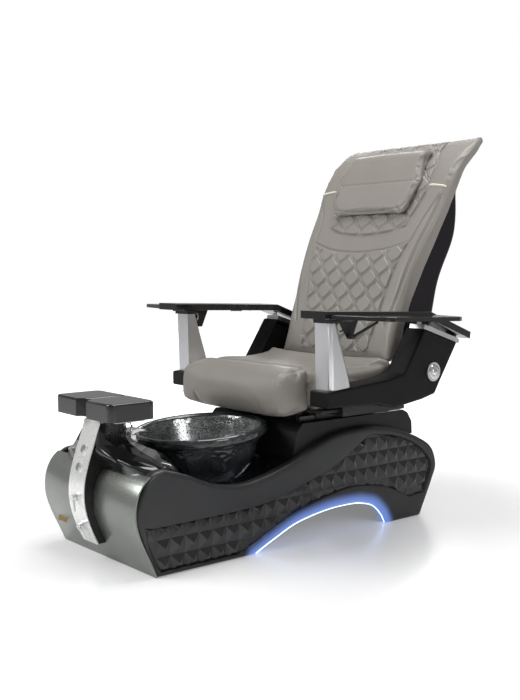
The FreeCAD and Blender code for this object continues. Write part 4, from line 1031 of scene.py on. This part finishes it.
for name, side in SIDES:
    domed = [(27, 0), (26, 1.5), (21, 2.5), (16, 2.6), (15, 1.2), (14.4, 1.2), (13.5, 3.4), (10, 5.6), (5, 6.6), (0.4, 6.8)]
    cap = disc("pivot_dome_" + name, (side * 469, 1116, 596), (side, 0, 0), domed, CHROME, "carriage")

for name, turn in (("jet_button", (0, -0.94006, 0.341008)), ("drain_button", (0, -0.960596, 0.27795))):
    corners = [nodes[name].matrix_world @ Vector(c) for c in nodes[name].bound_box]
    middle = sum(corners, Vector()) / 8 * 1000 + Vector((0, ROW_BACK, 0))
    ring = [(13.5, -6), (13.5, -1.5), (14.5, -0.6), (16.5, -0.6), (17.5, -1.5), (17.5, -6)]
    groove = disc("ring_" + name, tuple(middle), turn, ring, GLOSS, "base", 48)

plate = make("blank_badge", *slab([(-14, -14), (14, -14), (14, 14), (-14, 14)], -31, 31, 0.4, 2), BRASS, None)
plate.data.transform(Matrix.Diagonal((1, 0.04, 1, 1)) @ Matrix.Translation((0, ROW_BACK / 1000, 0)))
plate.data.transform(Matrix.Translation(at(-212, -57.2, 106)) @ Matrix.Rotation(-0.43, 4, "X"))
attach(plate, "base")


# ------------------------------------------------------------------------------ stage and light

FLOOR = surface("floor", (0.8, 0.8, 0.805), 0.24, spread=0.002, patch=0.6, grain=1.5, depth=0.0, rough_spread=0.01)
FLOOR.node_tree.nodes["Principled BSDF"].inputs["Emission Color"].default_value = (1, 1, 1, 1)
floor_tree = FLOOR.node_tree
from_middle = wire(floor_tree, "ShaderNodeVectorMath", {"operation": "LENGTH"})
floor_tree.links.new(floor_tree.nodes["Texture Coordinate"].outputs["Object"], from_middle.inputs[0])
fade = wire(floor_tree, "ShaderNodeMapRange", {"interpolation_type": "SMOOTHSTEP"}, Value=from_middle.outputs["Value"],
            From_Min=0.9, From_Max=2.6, To_Min=0.22, To_Max=1.0)
mirrored_ray = wire(floor_tree, "ShaderNodeLightPath").outputs["Is Glossy Ray"]
dimmed = wire(floor_tree, "ShaderNodeMapRange", Value=mirrored_ray, To_Min=1.0, To_Max=0.12)
lit = wire(floor_tree, "ShaderNodeMath", {"operation": "MULTIPLY"})
floor_tree.links.new(fade.outputs[0], lit.inputs[0])
floor_tree.links.new(dimmed.outputs[0], lit.inputs[1])
floor_tree.links.new(lit.outputs[0], floor_tree.nodes["Principled BSDF"].inputs["Emission Strength"])
floor = make("floor", [(-9000, -8290, 0), (9000, -8290, 0), (9000, 9710, 0), (-9000, 9710, 0)], [(0, 1, 2, 3)],
             FLOOR, None)

backdrop = make("backdrop", *revolve([(14000 * math.cos(a), 14000 * math.sin(a)) for a in np.linspace(-1.5, 1.5, 24)], 48),
                None, None)
glow = bpy.data.materials.new("backdrop")
glow.use_nodes = True
glow.node_tree.nodes.clear()
white = wire(glow.node_tree, "ShaderNodeEmission", Color=(1, 1, 1, 1), Strength=1.0)
out = glow.node_tree.nodes.new("ShaderNodeOutputMaterial")
glow.node_tree.links.new(white.outputs[0], out.inputs[0])
backdrop.data.materials.append(glow)
backdrop.visible_diffuse = backdrop.visible_glossy = backdrop.visible_shadow = backdrop.visible_transmission = False


def softbox(name, place, aim, size, power, colour=(1, 1, 1)):
    light = bpy.data.lights.new(name, "AREA")
    light.shape, light.size, light.size_y = "RECTANGLE", size[0], size[1]
    light.energy, light.color = power, colour
    obj = bpy.data.objects.new(name, light)
    scene.collection.objects.link(obj)
    obj.location = place
    obj.rotation_euler = (Vector(aim) - Vector(place)).to_track_quat("-Z", "Y").to_euler()
    return obj


softbox("key", (-1.8, -4.0, 3.2), (0, 0, 0.6), (2.2, 1.8), 140)
softbox("side", (4.4, -0.2, 2.4), (0, 0.1, 0.5), (1.4, 2.2), 48)
softbox("top", (0.2, 0.5, 4.2), (0, 0.1, 0.5), (2.6, 2.6), 120)
softbox("rear", (-2.6, 3.2, 2.4), (0, 0.3, 0.9), (1.6, 1.6), 40)

world = bpy.data.worlds.new("studio")
scene.world = world
world.use_nodes = True
world.node_tree.nodes["Background"].inputs["Color"].default_value = (1, 1, 1, 1)
world.node_tree.nodes["Background"].inputs["Strength"].default_value = 0.30
scene.view_settings.view_transform = "Standard"

bpy.context.view_layer.update()
